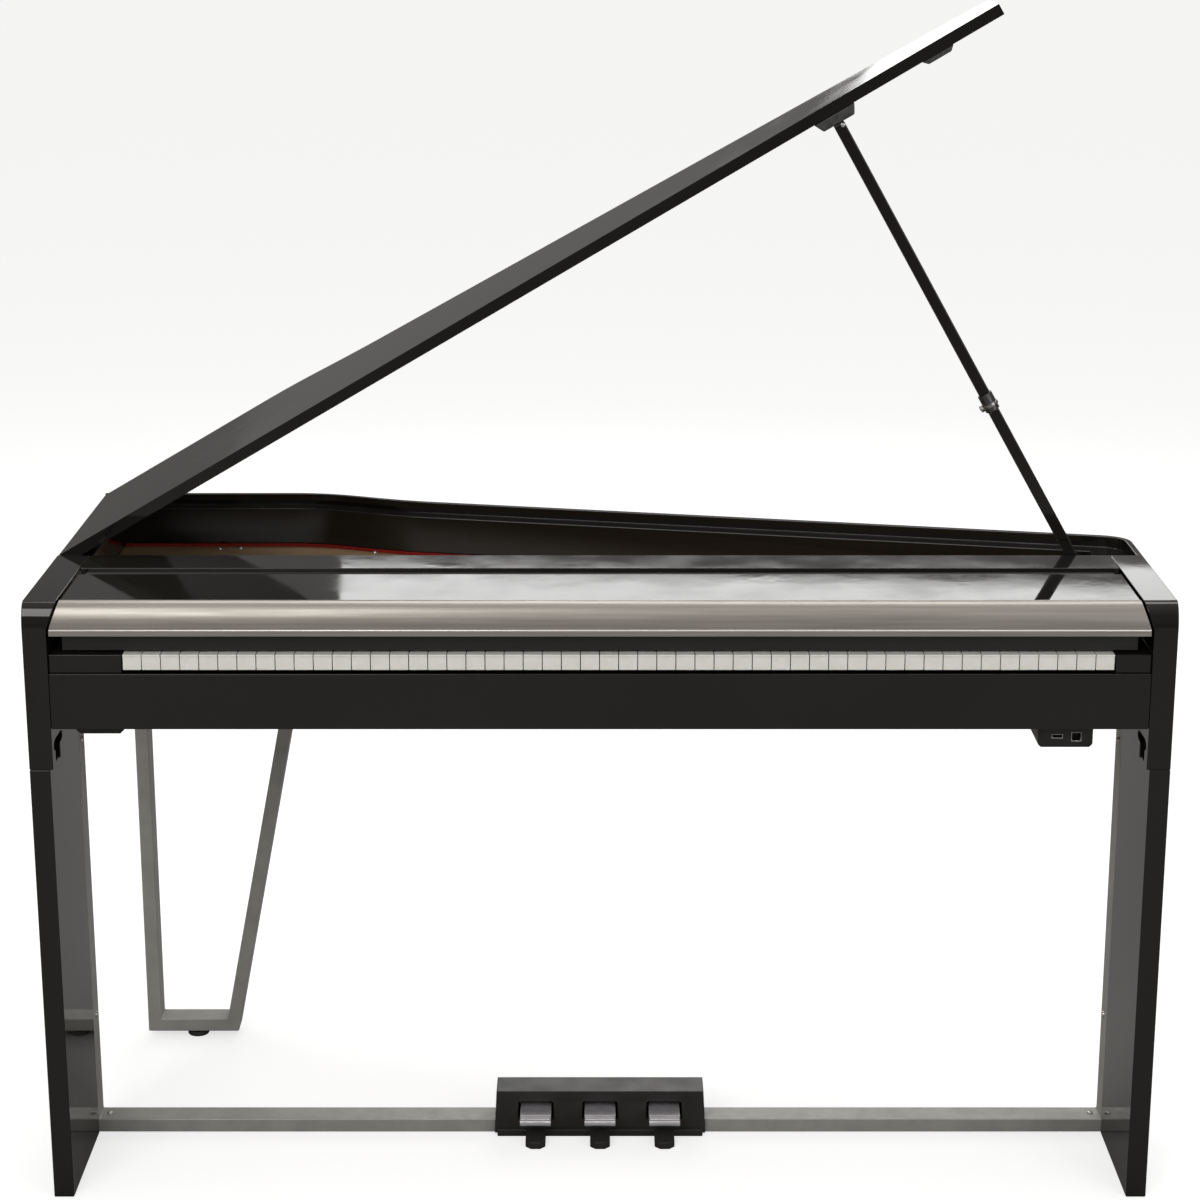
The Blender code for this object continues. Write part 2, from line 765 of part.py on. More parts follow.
def lid_outline():
    rear = clipped(inset(rear_outline(), LIP + LID_LIP_GAP), LID_RIGHT)
    front = STRIP_BACK + LID_SIDE_GAP
    points = [(LID_LEFT, front), (LID_RIGHT, front)] + rear[::-1]
    return [(max(x, LID_LEFT), y) for x, y in points]


def open_lid_piece(made):
    """Swings a piece that was made in the closed position up about the lid's hinge."""
    made.rotation_euler = (0, -LID_OPEN, 0)
    return made


def make_lid(finish, metal, black):
    axis_point = (LID_AXIS[0], 0, LID_AXIS[1])
    low = TOP - LID_THICK
    outline = depth_outline(lid_outline())
    open_lid_piece(prism("lid_panel", outline, "Z", low, TOP, finish, pivot=axis_point, bevel=0.0008))
    cups = (
        ("prop_cup", CUP_MIDDLE, CUP_LONG, CUP_DEEP, metal),
        ("short_prop_cup", SHORT_CUP_MIDDLE, SHORT_CUP_LONG, SHORT_CUP_DEEP, metal),
    )
    for name, middle, long, deep, finish_of in cups:
        taper = min(CUP_TAPER, deep)
        top = low - GAP
        shape = [
            (middle - long / 2, top),
            (middle - long / 2 + taper, top - deep),
            (middle + long / 2 - taper, top - deep),
            (middle + long / 2, top),
        ]
        half = PROP_THICK / 2 + 0.0010
        front = back(PROP_DEPTH - half)
        rear = back(PROP_DEPTH + half)
        open_lid_piece(prism(name, shape, "Y", front, rear, finish_of, pivot=axis_point))
    barrel_front, barrel_back = STRIP_BACK + 0.010, DEPTH - LIP - 0.010
    barrel = rod(
        "lid_hinge",
        (LID_AXIS[0], back(barrel_front), LID_AXIS[1]),
        (LID_AXIS[0], back(barrel_back), LID_AXIS[1]),
        BARREL,
        black,
        sides=12,
    )
    leaf = block(
        "lid_hinge_leaf",
        (LID_AXIS[0] - BARREL * 0.9, back(barrel_front), LEDGE + GAP),
        (LID_AXIS[0] + BARREL * 0.5, back(barrel_back), LID_AXIS[1]),
        black,
    )
    combine(barrel, leaf, "UNION")


def prop_length():
    """From the prop's pivot to its top end, just under the cup on the open lid."""
    across = PROP_PIVOT[0] - LID_AXIS[0]
    rise = PROP_PIVOT[1] - LID_AXIS[1]
    cup_line = TOP - LID_THICK - GAP - CUP_DEEP - LID_AXIS[1]
    reach = cup_line - PROP_SEAT + math.sin(LID_OPEN) * across - math.cos(LID_OPEN) * rise
    return reach / math.cos(LID_OPEN - PROP_LEAN)


def along_prop(distance, side=0.0):
    """A point beside the prop's middle line, as (x, z)."""
    up = Vector((-math.sin(PROP_LEAN), math.cos(PROP_LEAN)))
    right = Vector((math.cos(PROP_LEAN), math.sin(PROP_LEAN)))
    return tuple(Vector(PROP_PIVOT) + up * distance + right * side)


def make_prop(finish, metal, black):
    pivot = (PROP_PIVOT[0], back(PROP_DEPTH), PROP_PIVOT[1])
    front = back(PROP_DEPTH - PROP_THICK / 2)
    rear = back(PROP_DEPTH + PROP_THICK / 2)
    half = PROP_WIDE / 2
    top = prop_length()
    collar_top = top - COLLAR_FROM_TOP + COLLAR_LONG / 2
    collar_low = collar_top - COLLAR_LONG
    foot_arc = []
    for point in arc((0, 0), half, 0, -180, 8):
        foot_arc.append(along_prop(point[1], point[0]))
    lower = [along_prop(collar_low - GAP, -half), along_prop(collar_low - GAP, half)] + foot_arc
    prism("prop_lower_stick", lower, "Y", front, rear, finish, pivot=pivot)
    tilt = math.tan(LID_OPEN - PROP_LEAN) * half
    upper = [
        along_prop(collar_top + GAP, -half),
        along_prop(collar_top + GAP, half),
        along_prop(top + tilt, half),
        along_prop(top - tilt, -half),
    ]
    prism("prop_upper_stick", upper, "Y", front, rear, finish, pivot=pivot)
    ends = [along_prop(d) for d in (collar_low, collar_top)]
    middle_y = back(PROP_DEPTH)
    collar = rod(
        "prop_collar",
        (ends[0][0], middle_y, ends[0][1]),
        (ends[1][0], middle_y, ends[1][1]),
        COLLAR_RADIUS,
        metal,
        sides=20,
        pivot=pivot,
    )
    knob_ends = [along_prop(collar_low + 0.006, side) for side in (-0.005, -COLLAR_RADIUS - 0.004)]
    knob = rod(
        "prop_collar_knob",
        (knob_ends[0][0], middle_y, knob_ends[0][1]),
        (knob_ends[1][0], middle_y, knob_ends[1][1]),
        0.0030,
        metal,
        sides=12,
        pivot=pivot,
    )
    combine(collar, knob, "UNION")
    inner = PROP_THICK / 2 + GAP
    outer = inner + BRACKET_CHEEK
    base = SOUNDBOARD_TOP + GAP
    shape = [
        (-outer, base),
        (outer, base),
        (outer, BRACKET_TOP),
        (inner, BRACKET_TOP),
        (inner, base + BRACKET_BASE),
        (-inner, base + BRACKET_BASE),
        (-inner, BRACKET_TOP),
        (-outer, BRACKET_TOP),
    ]
    outline = [(back(PROP_DEPTH + depth), z) for depth, z in shape]
    ends_x = (PROP_PIVOT[0] - BRACKET_HALF, PROP_PIVOT[0] + BRACKET_HALF)
    prism("prop_foot_bracket", outline, "X", ends_x[0], ends_x[1], black)


def make_electronics(board, chip, steel):
    floor = BOARD_LOW + REAR_BOARD_THICK + GAP
    boards = (
        ("main_board", (-0.330, 0.300), (-0.170, 0.400), 0.0016),
        ("amplifier_board", (-0.130, 0.270), (-0.040, 0.380), 0.0016),
    )
    for name, low, high, thick in boards:
        made = block(
            name,
            (low[0], back(low[1]), floor),
            (high[0], back(high[1]), floor + thick),
            board,
        )
        spots = ((0.25, 0.30, 0.010), (0.60, 0.62, 0.008), (0.80, 0.25, 0.018))
        for index, (across, deep, tall) in enumerate(spots):
            x = low[0] + across * (high[0] - low[0])
            y = back(low[1] + deep * (high[1] - low[1]))
            part = block(
                f"{name}_part_{index}",
                (x - 0.012, y - 0.010, floor + thick / 2),
                (x + 0.012, y + 0.010, floor + thick + tall),
                chip,
            )
            combine(made, part, "UNION")
    for side, (x, depth) in zip(("left", "right"), SPEAKERS):
        y = back(depth)
        rim_top = floor + 0.006
        basket = rod(f"{side}_speaker", (x, y, floor), (x, y, rim_top), SPEAKER_RADIUS, steel, sides=32)
        cone = rod(
            f"{side}_speaker_cone",
            (x, y, rim_top - 0.003),
            (x, y, floor + 0.035),
            SPEAKER_RADIUS * 0.85,
            steel,
            sides=32,
            end_radius=SPEAKER_RADIUS * 0.5,
        )
        magnet = rod(
            f"{side}_speaker_magnet",
            (x, y, floor + 0.030),
            (x, y, floor + SPEAKER_TALL),
            SPEAKER_RADIUS * 0.6,
            steel,
            sides=32,
        )
        combine(basket, cone, "UNION")
        combine(basket, magnet, "UNION")


def make_under_boxes(black):
    top = BOARD_LOW - GAP
    for name, ends, tall, chamfer in (
        ("headphone_box", HEADPHONE_BOX, HEADPHONE_TALL, 0.006),
        ("port_box", PORT_BOX, PORT_TALL, 0.004),
    ):
        low = top - tall
        shape = [
            (ends[0], top),
            (ends[0], low + chamfer),
            (ends[0] + chamfer, low),
            (ends[1] - chamfer, low),
            (ends[1], low + chamfer),
            (ends[1], top),
        ]
        prism(name, shape, "Y", back(UNDER_FRONT), back(UNDER_BACK), black)


def make_stand(finish, silver, black):
    leg_top = ARM_BOTTOM - GAP
    for side, name in ((-1, "left_leg_panel"), (1, "right_leg_panel")):
        ends = sorted((side * HALF, side * (HALF - LEG)))
        block(
            name,
            (ends[0], back(0), 0),
            (ends[1], back(LEG_DEPTH), leg_top),
            finish,
            bevel=0.001,
        )
    post_outer = HALF - LEG + TUBE
    post_inner = HALF - LEG
    frame_top = CASE_BOTTOM - GAP
    shape = [
        (-post_outer, RAIL_LOW),
        (post_outer, RAIL_LOW),
        (post_outer, frame_top),
        (post_inner, frame_top),
        (post_inner, RAIL_LOW + TUBE),
        (-post_inner, RAIL_LOW + TUBE),
        (-post_inner, frame_top),
        (-post_outer, frame_top),
    ]
    front = LEG_DEPTH + GAP
    prism("stand_frame", shape, "Y", back(front), back(front + TUBE_DEPTH), silver, bevel=0.0012)

    low = REAR_FOOT_TALL + GAP
    loop_top = BOARD_LOW - GAP
    rise = loop_top - low
    lean = math.tan(REAR_LEG_LEAN)
    across = TUBE / math.cos(REAR_LEG_LEAN)
    outer_foot = REAR_LEG_FOOT_RIGHT
    outer_top = outer_foot + rise * lean
    left = REAR_LEG_LEFT
    loop = [
        (left, low),
        (outer_foot, low),
        (outer_top, loop_top),
        (outer_top - across, loop_top),
        (outer_foot + TUBE * lean - across, low + TUBE),
        (left + TUBE, low + TUBE),
        (left + TUBE, loop_top),
        (left, loop_top),
    ]
    rear = REAR_LEG_DEPTH
    prism("rear_leg_loop", loop, "Y", back(rear), back(rear + TUBE_DEPTH), silver, bevel=0.0012)
    foot_y = back(rear + TUBE_DEPTH / 2)
    rod(
        "rear_foot",
        (REAR_FOOT_X, foot_y, 0),
        (REAR_FOOT_X, foot_y, REAR_FOOT_TALL),
        REAR_FOOT_RADIUS,
        black,
    )


def make_pedals(black, chrome):
    """The pedal box sits over the stand's rail like a saddle, with a pocket for each pedal."""
    bm = bmesh.new()
    front = [(-BOX_HALF, BOX_LOW), (BOX_HALF, BOX_LOW), (BOX_TOP_HALF, BOX_TOP), (-BOX_TOP_HALF, BOX_TOP)]
    near = [bm.verts.new((x, back(BOX_FRONT + (BOX_LEAN if z > BOX_LOW else 0)), z)) for x, z in front]
    far = [bm.verts.new((x, back(BOX_BACK), z)) for x, z in front]
    bm.faces.new(near)
    bm.faces.new(far)
    for i in range(4):
        j = (i + 1) % 4
        bm.faces.new((near[i], near[j], far[j], far[i]))
    box = make_object("pedal_box", bm, black)
    rail_front = LEG_DEPTH + GAP
    channel = block(
        "pedal_box_channel",
        (-BOX_HALF - 0.010, back(rail_front - GAP), BOX_LOW - 0.010),
        (BOX_HALF + 0.010, back(rail_front + TUBE_DEPTH + GAP), RAIL_LOW + TUBE + GAP),
        black,
    )
    combine(box, channel, "DIFFERENCE")
    for number, name in ((-1, "left"), (0, "middle"), (1, "right")):
        middle = number * PEDAL_PITCH
        half = PEDAL_WIDE / 2
        pocket = block(
            f"{name}_pedal_pocket",
            (middle - half - POCKET_SIDE, back(BOX_FRONT - 0.010), POCKET_LOW),
            (middle + half + POCKET_SIDE, back(POCKET_BACK), POCKET_HIGH),
            black,
        )
        combine(box, pocket, "DIFFERENCE")
        low = PEDAL_TOP - PEDAL_THICK
        profile = [
            (PEDAL_TIP + 0.0015, PEDAL_TOP),
            (PEDAL_TIP, PEDAL_TOP - 0.0015),
            (PEDAL_TIP, PEDAL_TOP - PEDAL_ROLL + 0.0015),
            (PEDAL_TIP + 0.0015, PEDAL_TOP - PEDAL_ROLL),
            (PEDAL_TIP + PEDAL_ROLL_THICK, PEDAL_TOP - PEDAL_ROLL),
            (PEDAL_TIP + PEDAL_ROLL_THICK + 0.003, low),
            (PEDAL_BACK, low),
            (PEDAL_BACK, PEDAL_TOP),
        ]
        outline = [(back(depth), z) for depth, z in profile]
        pivot = (middle, back(PEDAL_PIVOT[0]), PEDAL_PIVOT[1])
        lever = prism(f"{name}_pedal", outline, "X", middle - half, middle + half, chrome, pivot=pivot)
        reach = half + POCKET_SIDE - PEDAL_PIN_GAP
        pin = rod(
            f"{name}_pedal_pin",
            (middle - reach, *pivot[1:]),
            (middle + reach, *pivot[1:]),
            PEDAL_PIN,
            chrome,
            sides=16,
            pivot=pivot,
        )
        combine(lever, pin, "UNION")
    wide = TONGUE_WIDE / 2
    plate_front = BOX_FRONT - GAP
    outline = [(BOX_HALF - 0.004, plate_front), (-(BOX_HALF - 0.004), plate_front)]
    plate_step = plate_front - 0.004
    outline.append((-(BOX_HALF - 0.004), plate_step))
    for number in (-1, 0, 1):
        middle = number * PEDAL_PITCH
        outline += [
            (middle - wide, plate_step),
            (middle - wide, TONGUE_TIP + TONGUE_CORNER),
            (middle - wide + TONGUE_CORNER, TONGUE_TIP),
            (middle + wide - TONGUE_CORNER, TONGUE_TIP),
            (middle + wide, TONGUE_TIP + TONGUE_CORNER),
            (middle + wide, plate_step),
        ]
    outline.append((BOX_HALF - 0.004, plate_step))
    prism("pedal_foot_plate", depth_outline(outline), "Z", 0, TONGUE_THICK, black)


def clear_scene():
    for existing in list(bpy.data.objects):
        bpy.data.objects.remove(existing, do_unlink=True)


def main():
    clear_scene()
    gloss = material("gloss_black", (0.006, 0.0055, 0.005), 0.08)
    satin = material("satin_black", (0.012, 0.011, 0.010), 0.45)
    inside = material("board_inside", (0.20, 0.14, 0.09), 0.7)
    gold = material("gold_soundboard", (0.27, 0.17, 0.085), 0.45, 0.5)
    felt = material("red_felt", (0.19, 0.012, 0.009), 0.95)
    silver = material("silver_front", (0.27, 0.25, 0.22), 0.35, 0.8)
    tube = material("stand_silver", (0.33, 0.325, 0.30), 0.4, 0.7)
    chrome = material("chrome", (0.60, 0.58, 0.62), 0.15, 1.0)
    ivory = material("white_keys", (0.78, 0.77, 0.72), 0.25)
    ebony = material("black_keys", (0.010, 0.010, 0.010), 0.35)
    steel = material("plain_steel", (0.35, 0.35, 0.36), 0.45, 0.9)
    board = material("circuit_board", (0.02, 0.10, 0.035), 0.5)
    chip = material("board_parts", (0.02, 0.02, 0.02), 0.5)

    make_case(gloss, inside, gold, felt)
    make_cheek_blocks(gloss)
    make_controls(silver, satin)
    make_cover(gloss, silver, satin)
    make_keys(ivory, ebony)
    make_key_frame(steel, board)
    make_lid(gloss, steel, satin)
    make_prop(gloss, steel, satin)
    make_electronics(board, chip, steel)
    make_under_boxes(satin)
    make_stand(gloss, tube, satin)
    make_pedals(satin, chrome)


main()
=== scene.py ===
# %% [markdown]
# # A digital grand piano, piece by piece
#
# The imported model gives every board, key and tube in its place. This lesson gives each one its finish:
# polished black lacquer that mirrors the room, satin silver, ivory keys and a gold soundboard. Where
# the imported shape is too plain, a finer piece is built at the same place and stands for it.

import json
import math

import bmesh
import bpy
from mathutils import Matrix, Vector
from mathutils.geometry import interpolate_bezier


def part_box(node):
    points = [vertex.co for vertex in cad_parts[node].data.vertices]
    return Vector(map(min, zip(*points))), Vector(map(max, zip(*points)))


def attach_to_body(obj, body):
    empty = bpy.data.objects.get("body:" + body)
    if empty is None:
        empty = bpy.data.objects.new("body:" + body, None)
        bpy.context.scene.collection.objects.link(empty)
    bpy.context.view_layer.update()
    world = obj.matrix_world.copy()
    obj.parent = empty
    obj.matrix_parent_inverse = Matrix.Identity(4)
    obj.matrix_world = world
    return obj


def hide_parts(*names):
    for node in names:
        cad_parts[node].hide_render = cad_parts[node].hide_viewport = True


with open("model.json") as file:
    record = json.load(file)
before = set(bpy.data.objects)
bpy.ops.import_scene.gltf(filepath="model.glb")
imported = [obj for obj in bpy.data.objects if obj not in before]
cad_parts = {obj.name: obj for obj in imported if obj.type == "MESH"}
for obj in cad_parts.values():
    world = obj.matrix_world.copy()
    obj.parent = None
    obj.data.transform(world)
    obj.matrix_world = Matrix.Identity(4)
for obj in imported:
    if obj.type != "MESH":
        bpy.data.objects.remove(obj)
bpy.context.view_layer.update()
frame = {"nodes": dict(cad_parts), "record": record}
record = frame["record"]
body_of = {node: body for body, nodes in record["behaviour"]["bodies"].items() for node in nodes}
slot_of = {entry["node"]: entry["material_slot"] for entry in record["subparts"]}

# %% [markdown]
# ## Where things are
#
# The depth of a point is easiest to think of as its distance behind the front of the two arms. The
# whole piano is 602 mm deep and stands centred on the origin, so back() turns a depth into Y. These
# few sizes are the ones that the pieces below share.

# %% Shared sizes
DEPTH = 0.602
HALF = 0.711
TOP = 0.802
CASE_BOTTOM = 0.640
ARM_INNER = 0.681
ARM_TOP_INNER = 0.669
ARM_BOTTOM = 0.587
LEG_DEPTH = 0.185
FASCIA_LOW = 0.768
FASCIA_DEPTH = 0.018
STRIP_BACK = 0.240
LEDGE = 0.787
LIP = 0.008
WALL = 0.035
PIT_RIGHT = 0.656
SMALL_GAP = 0.0003
SOUNDBOARD_TOP = 0.732
LID_OPEN = math.radians(30.4)
LID_AXIS = Vector((-0.708, 0, 0.799))


def back(depth):
    return depth - DEPTH / 2


print("the arms' front stands at Y", round(back(0), 4))

# %% [markdown]
# ## Camera
#
# The photograph was taken from straight in front and a little above, with a long lens. The lens and
# the tilt come from the key fronts, the legs and the edges of the case.

# %% Camera
CAMERA_BACK = 3.196
CAMERA_HEIGHT = 1.681
CAMERA_TILT = 15.3
SENSOR = 36.0
IMAGE_SIDE = 1200
FOCAL_PIXELS = 2706

lens = bpy.data.cameras.new("photo_camera")
lens.sensor_width = SENSOR
lens.lens = FOCAL_PIXELS / IMAGE_SIDE * SENSOR
camera = bpy.data.objects.new("photo_camera", lens)
camera.location = (0, back(-CAMERA_BACK), CAMERA_HEIGHT)
camera.rotation_euler = (math.radians(90 - CAMERA_TILT), 0, 0)
bpy.context.scene.collection.objects.link(camera)
bpy.context.scene.camera = camera
bpy.context.scene.view_settings.view_transform = "Standard"
print("focal length", round(lens.lens, 2), "mm")

# %% [markdown]
# ## Shader node groups
#
# Several finishes need the same few effects: an uneven sheen, a moulded grain, the long lines of
# brushed metal and a little dust. Each is one node group with named inputs, built once and placed in
# every material that needs it with its own values.

# %% Helper for node groups
def new_group(name, inputs, outputs):
    tree = bpy.data.node_groups.new(name, "ShaderNodeTree")
    for socket, kind, value in inputs:
        made = tree.interface.new_socket(socket, in_out="INPUT", socket_type=kind)
        made.default_value = value
    for socket, kind in outputs:
        tree.interface.new_socket(socket, in_out="OUTPUT", socket_type=kind)
    return tree, tree.nodes.new("NodeGroupInput"), tree.nodes.new("NodeGroupOutput")


def stretched_place(tree, stretch_socket):
    """Object coordinates multiplied by a stretch, so that a pattern can run long one way."""
    place = tree.nodes.new("ShaderNodeTexCoord")
    stretched = tree.nodes.new("ShaderNodeVectorMath")
    stretched.operation = "MULTIPLY"
    tree.links.new(place.outputs["Object"], stretched.inputs[0])
    tree.links.new(stretch_socket, stretched.inputs[1])
    return stretched.outputs[0]


# %% Uneven: a soft noise between two values
def make_uneven():
    tree, given, result = new_group(
        "uneven",
        [
            ("Scale", "NodeSocketFloat", 10.0),
            ("Stretch", "NodeSocketVector", (1, 1, 1)),
            ("Low", "NodeSocketFloat", 0.0),
            ("High", "NodeSocketFloat", 1.0),
        ],
        [("Value", "NodeSocketFloat")],
    )
    noise = tree.nodes.new("ShaderNodeTexNoise")
    noise.inputs["Detail"].default_value = 4
    tree.links.new(stretched_place(tree, given.outputs["Stretch"]), noise.inputs["Vector"])
    tree.links.new(given.outputs["Scale"], noise.inputs["Scale"])
    spread = tree.nodes.new("ShaderNodeMapRange")
    spread.inputs["From Min"].default_value = 0.30
    spread.inputs["From Max"].default_value = 0.70
    tree.links.new(noise.outputs[0], spread.inputs["Value"])
    tree.links.new(given.outputs["Low"], spread.inputs["To Min"])
    tree.links.new(given.outputs["High"], spread.inputs["To Max"])
    tree.links.new(spread.outputs[0], result.inputs["Value"])
    return tree


uneven = make_uneven()

# %% Grain: fine bumps of moulded or sprayed surfaces, as a height
def make_grain():
    tree, given, result = new_group(
        "grain",
        [("Scale", "NodeSocketFloat", 1500.0), ("Stretch", "NodeSocketVector", (1, 1, 1))],
        [("Height", "NodeSocketFloat")],
    )
    place = stretched_place(tree, given.outputs["Stretch"])
    cells = tree.nodes.new("ShaderNodeTexVoronoi")
    noise = tree.nodes.new("ShaderNodeTexNoise")
    noise.inputs["Detail"].default_value = 3
    mixed = tree.nodes.new("ShaderNodeMath")
    mixed.operation = "MULTIPLY"
    for texture in (cells, noise):
        tree.links.new(place, texture.inputs["Vector"])
        tree.links.new(given.outputs["Scale"], texture.inputs["Scale"])
    tree.links.new(cells.outputs["Distance"], mixed.inputs[0])
    tree.links.new(noise.outputs[0], mixed.inputs[1])
    tree.links.new(mixed.outputs[0], result.inputs["Height"])
    return tree


grain = make_grain()

# %% Dust: a mask for what settles on surfaces that face up
def make_dust():
    tree, given, result = new_group(
        "dust",
        [("Scale", "NodeSocketFloat", 60.0), ("Amount", "NodeSocketFloat", 0.1)],
        [("Mask", "NodeSocketFloat")],
    )
    shape = tree.nodes.new("ShaderNodeNewGeometry")
    parts = tree.nodes.new("ShaderNodeSeparateXYZ")
    tree.links.new(shape.outputs["Normal"], parts.inputs[0])
    facing = tree.nodes.new("ShaderNodeMapRange")
    facing.inputs["From Min"].default_value = 0.75
    facing.inputs["From Max"].default_value = 1.0
    tree.links.new(parts.outputs["Z"], facing.inputs["Value"])
    place = tree.nodes.new("ShaderNodeTexCoord")
    noise = tree.nodes.new("ShaderNodeTexNoise")
    noise.inputs["Detail"].default_value = 8
    tree.links.new(place.outputs["Object"], noise.inputs["Vector"])
    tree.links.new(given.outputs["Scale"], noise.inputs["Scale"])
    first = tree.nodes.new("ShaderNodeMath")
    first.operation = "MULTIPLY"
    second = tree.nodes.new("ShaderNodeMath")
    second.operation = "MULTIPLY"
    tree.links.new(facing.outputs[0], first.inputs[0])
    tree.links.new(noise.outputs[0], first.inputs[1])
    tree.links.new(first.outputs[0], second.inputs[0])
    tree.links.new(given.outputs["Amount"], second.inputs[1])
    tree.links.new(second.outputs[0], result.inputs["Mask"])
    return tree


dust = make_dust()
print("shader groups", [tree.name for tree in (uneven, grain, dust)])

# %% [markdown]
# ## Finishes
#
# Each finish is one Principled BSDF. Numbers that are the same all over sit on the shader's own
# sockets. What varies, such as a smudged sheen or a grain, comes from the groups.

# %% Helper for finishes
def finish(name, color, roughness, metallic=0.0, specular=0.5):
    made = bpy.data.materials.new(name)
    made.use_nodes = True
    shader = made.node_tree.nodes["Principled BSDF"]
    shader.inputs["Base Color"].default_value = (*color, 1)
    shader.inputs["Roughness"].default_value = roughness
    shader.inputs["Metallic"].default_value = metallic
    shader.inputs["Specular IOR Level"].default_value = specular
    return made


def place_group(material, group, **values):
    node = material.node_tree.nodes.new("ShaderNodeGroup")
    node.node_tree = group
    for name, value in values.items():
        node.inputs[name].default_value = value
    return node


def vary_roughness(material, low, high, scale, stretch=(1, 1, 1)):
    node = place_group(material, uneven, Scale=scale, Stretch=stretch, Low=low, High=high)
    shader = material.node_tree.nodes["Principled BSDF"]
    material.node_tree.links.new(node.outputs[0], shader.inputs["Roughness"])


def vary_color(material, dark, light, scale, stretch=(1, 1, 1)):
    """Drifts the base colour between two near tones."""
    tree = material.node_tree
    node = place_group(material, uneven, Scale=scale, Stretch=stretch, Low=0.0, High=1.0)
    mix = tree.nodes.new("ShaderNodeMix")
    mix.data_type = "RGBA"
    mix.inputs["A"].default_value = (*dark, 1)
    mix.inputs["B"].default_value = (*light, 1)
    tree.links.new(node.outputs[0], mix.inputs["Factor"])
    tree.links.new(mix.outputs["Result"], tree.nodes["Principled BSDF"].inputs["Base Color"])
    return mix


def add_bump(material, scale, strength, distance, stretch=(1, 1, 1), group=None, **values):
    tree = material.node_tree
    node = place_group(material, group or grain, Scale=scale, Stretch=stretch, **values)
    bump = tree.nodes.new("ShaderNodeBump")
    bump.inputs["Strength"].default_value = strength
    bump.inputs["Distance"].default_value = distance
    tree.links.new(node.outputs[0], bump.inputs["Height"])
    tree.links.new(bump.outputs["Normal"], tree.nodes["Principled BSDF"].inputs["Normal"])


def settle_dust(material, color, scale, amount):
    """Lays dust over whatever feeds the base colour."""
    tree = material.node_tree
    shader = tree.nodes["Principled BSDF"]
    base = shader.inputs["Base Color"]
    mix = tree.nodes.new("ShaderNodeMix")
    mix.data_type = "RGBA"
    if base.is_linked:
        tree.links.new(base.links[0].from_socket, mix.inputs["A"])
    else:
        mix.inputs["A"].default_value = base.default_value
    mix.inputs["B"].default_value = (*color, 1)
    node = place_group(material, dust, Scale=scale, Amount=amount)
    tree.links.new(node.outputs[0], mix.inputs["Factor"])
    tree.links.new(mix.outputs["Result"], base)


# %% [markdown]
# The case is black polyester lacquer, buffed until it mirrors the room. What gives it away as real is
# a faint waviness, a sheen that smudges a little, and a trace of dust where it faces up.

# %% Lacquer
lacquer = finish("black_lacquer", (0.0075, 0.0066, 0.0056), 0.05, specular=0.5)
vary_color(lacquer, (0.0060, 0.0054, 0.0047), (0.0095, 0.0083, 0.0068), 3.0)
vary_roughness(lacquer, 0.025, 0.085, 14.0)
add_bump(lacquer, 9.0, 0.10, 0.0004, group=uneven, Low=0.0, High=1.0)
settle_dust(lacquer, (0.20, 0.19, 0.175), 700.0, 0.035)

# %% [markdown]
# Moulded and powder-coated pieces are satin: a fine grain breaks the reflection up.

# %% Satin black, ebony and rubber
satin = finish("satin_black", (0.011, 0.0105, 0.0098), 0.42)
vary_roughness(satin, 0.36, 0.50, 25.0)
add_bump(satin, 1400.0, 0.35, 0.0002)
settle_dust(satin, (0.16, 0.155, 0.145), 400.0, 0.12)
box_plastic = finish("pedal_box_plastic", (0.017, 0.016, 0.015), 0.38)
vary_color(box_plastic, (0.014, 0.0133, 0.0125), (0.021, 0.0198, 0.0185), 18.0)
vary_roughness(box_plastic, 0.30, 0.46, 30.0)
add_bump(box_plastic, 1100.0, 0.4, 0.0003)
settle_dust(box_plastic, (0.22, 0.21, 0.20), 300.0, 0.15)
ebony = finish("ebony_keys", (0.010, 0.0098, 0.0095), 0.33)
vary_roughness(ebony, 0.24, 0.42, 60.0)
add_bump(ebony, 900.0, 0.25, 0.0002, stretch=(1, 0.08, 1))
rubber = finish("foot_rubber", (0.018, 0.0175, 0.017), 0.75)
vary_roughness(rubber, 0.65, 0.85, 60.0)
add_bump(rubber, 1600.0, 0.5, 0.0003)

# %% [markdown]
# The cover's front is aluminium, brushed along its length and lacquered, and a little warm in colour.

# %% Metals
LONGWAYS = (0.02, 1, 1)
silver = finish("brushed_silver", (0.33, 0.305, 0.275), 0.34, metallic=0.55)
vary_color(silver, (0.30, 0.277, 0.248), (0.37, 0.343, 0.31), 260.0, stretch=LONGWAYS)
vary_roughness(silver, 0.28, 0.42, 380.0, stretch=LONGWAYS)
add_bump(silver, 900.0, 0.12, 0.0002, stretch=LONGWAYS)
# The bead's pale colour, far lighter than the silver sheet, is a painted highlight line along the cover's lower edge.
bead_highlight_finish = finish("bead_painted_highlight", (0.80, 0.77, 0.72), 0.25, metallic=0.35)
vary_roughness(bead_highlight_finish, 0.18, 0.32, 200.0, stretch=LONGWAYS)
tube_paint = finish("stand_silver_paint", (0.345, 0.34, 0.318), 0.42, metallic=0.25)
vary_color(tube_paint, (0.315, 0.31, 0.29), (0.375, 0.37, 0.348), 30.0)
vary_roughness(tube_paint, 0.34, 0.50, 90.0)
add_bump(tube_paint, 2200.0, 0.18, 0.0002)
chrome = finish("pedal_chrome", (0.74, 0.72, 0.76), 0.16, metallic=0.72)
vary_roughness(chrome, 0.10, 0.24, 120.0, stretch=(1, 0.15, 1))
vary_color(chrome, (0.68, 0.66, 0.70), (0.80, 0.78, 0.82), 60.0)
steel = finish("dark_steel", (0.10, 0.10, 0.10), 0.38, metallic=0.85)
vary_roughness(steel, 0.28, 0.48, 150.0)
add_bump(steel, 1800.0, 0.2, 0.0002)
screw_metal = finish("screw_metal", (0.62, 0.61, 0.59), 0.25, metallic=0.9)
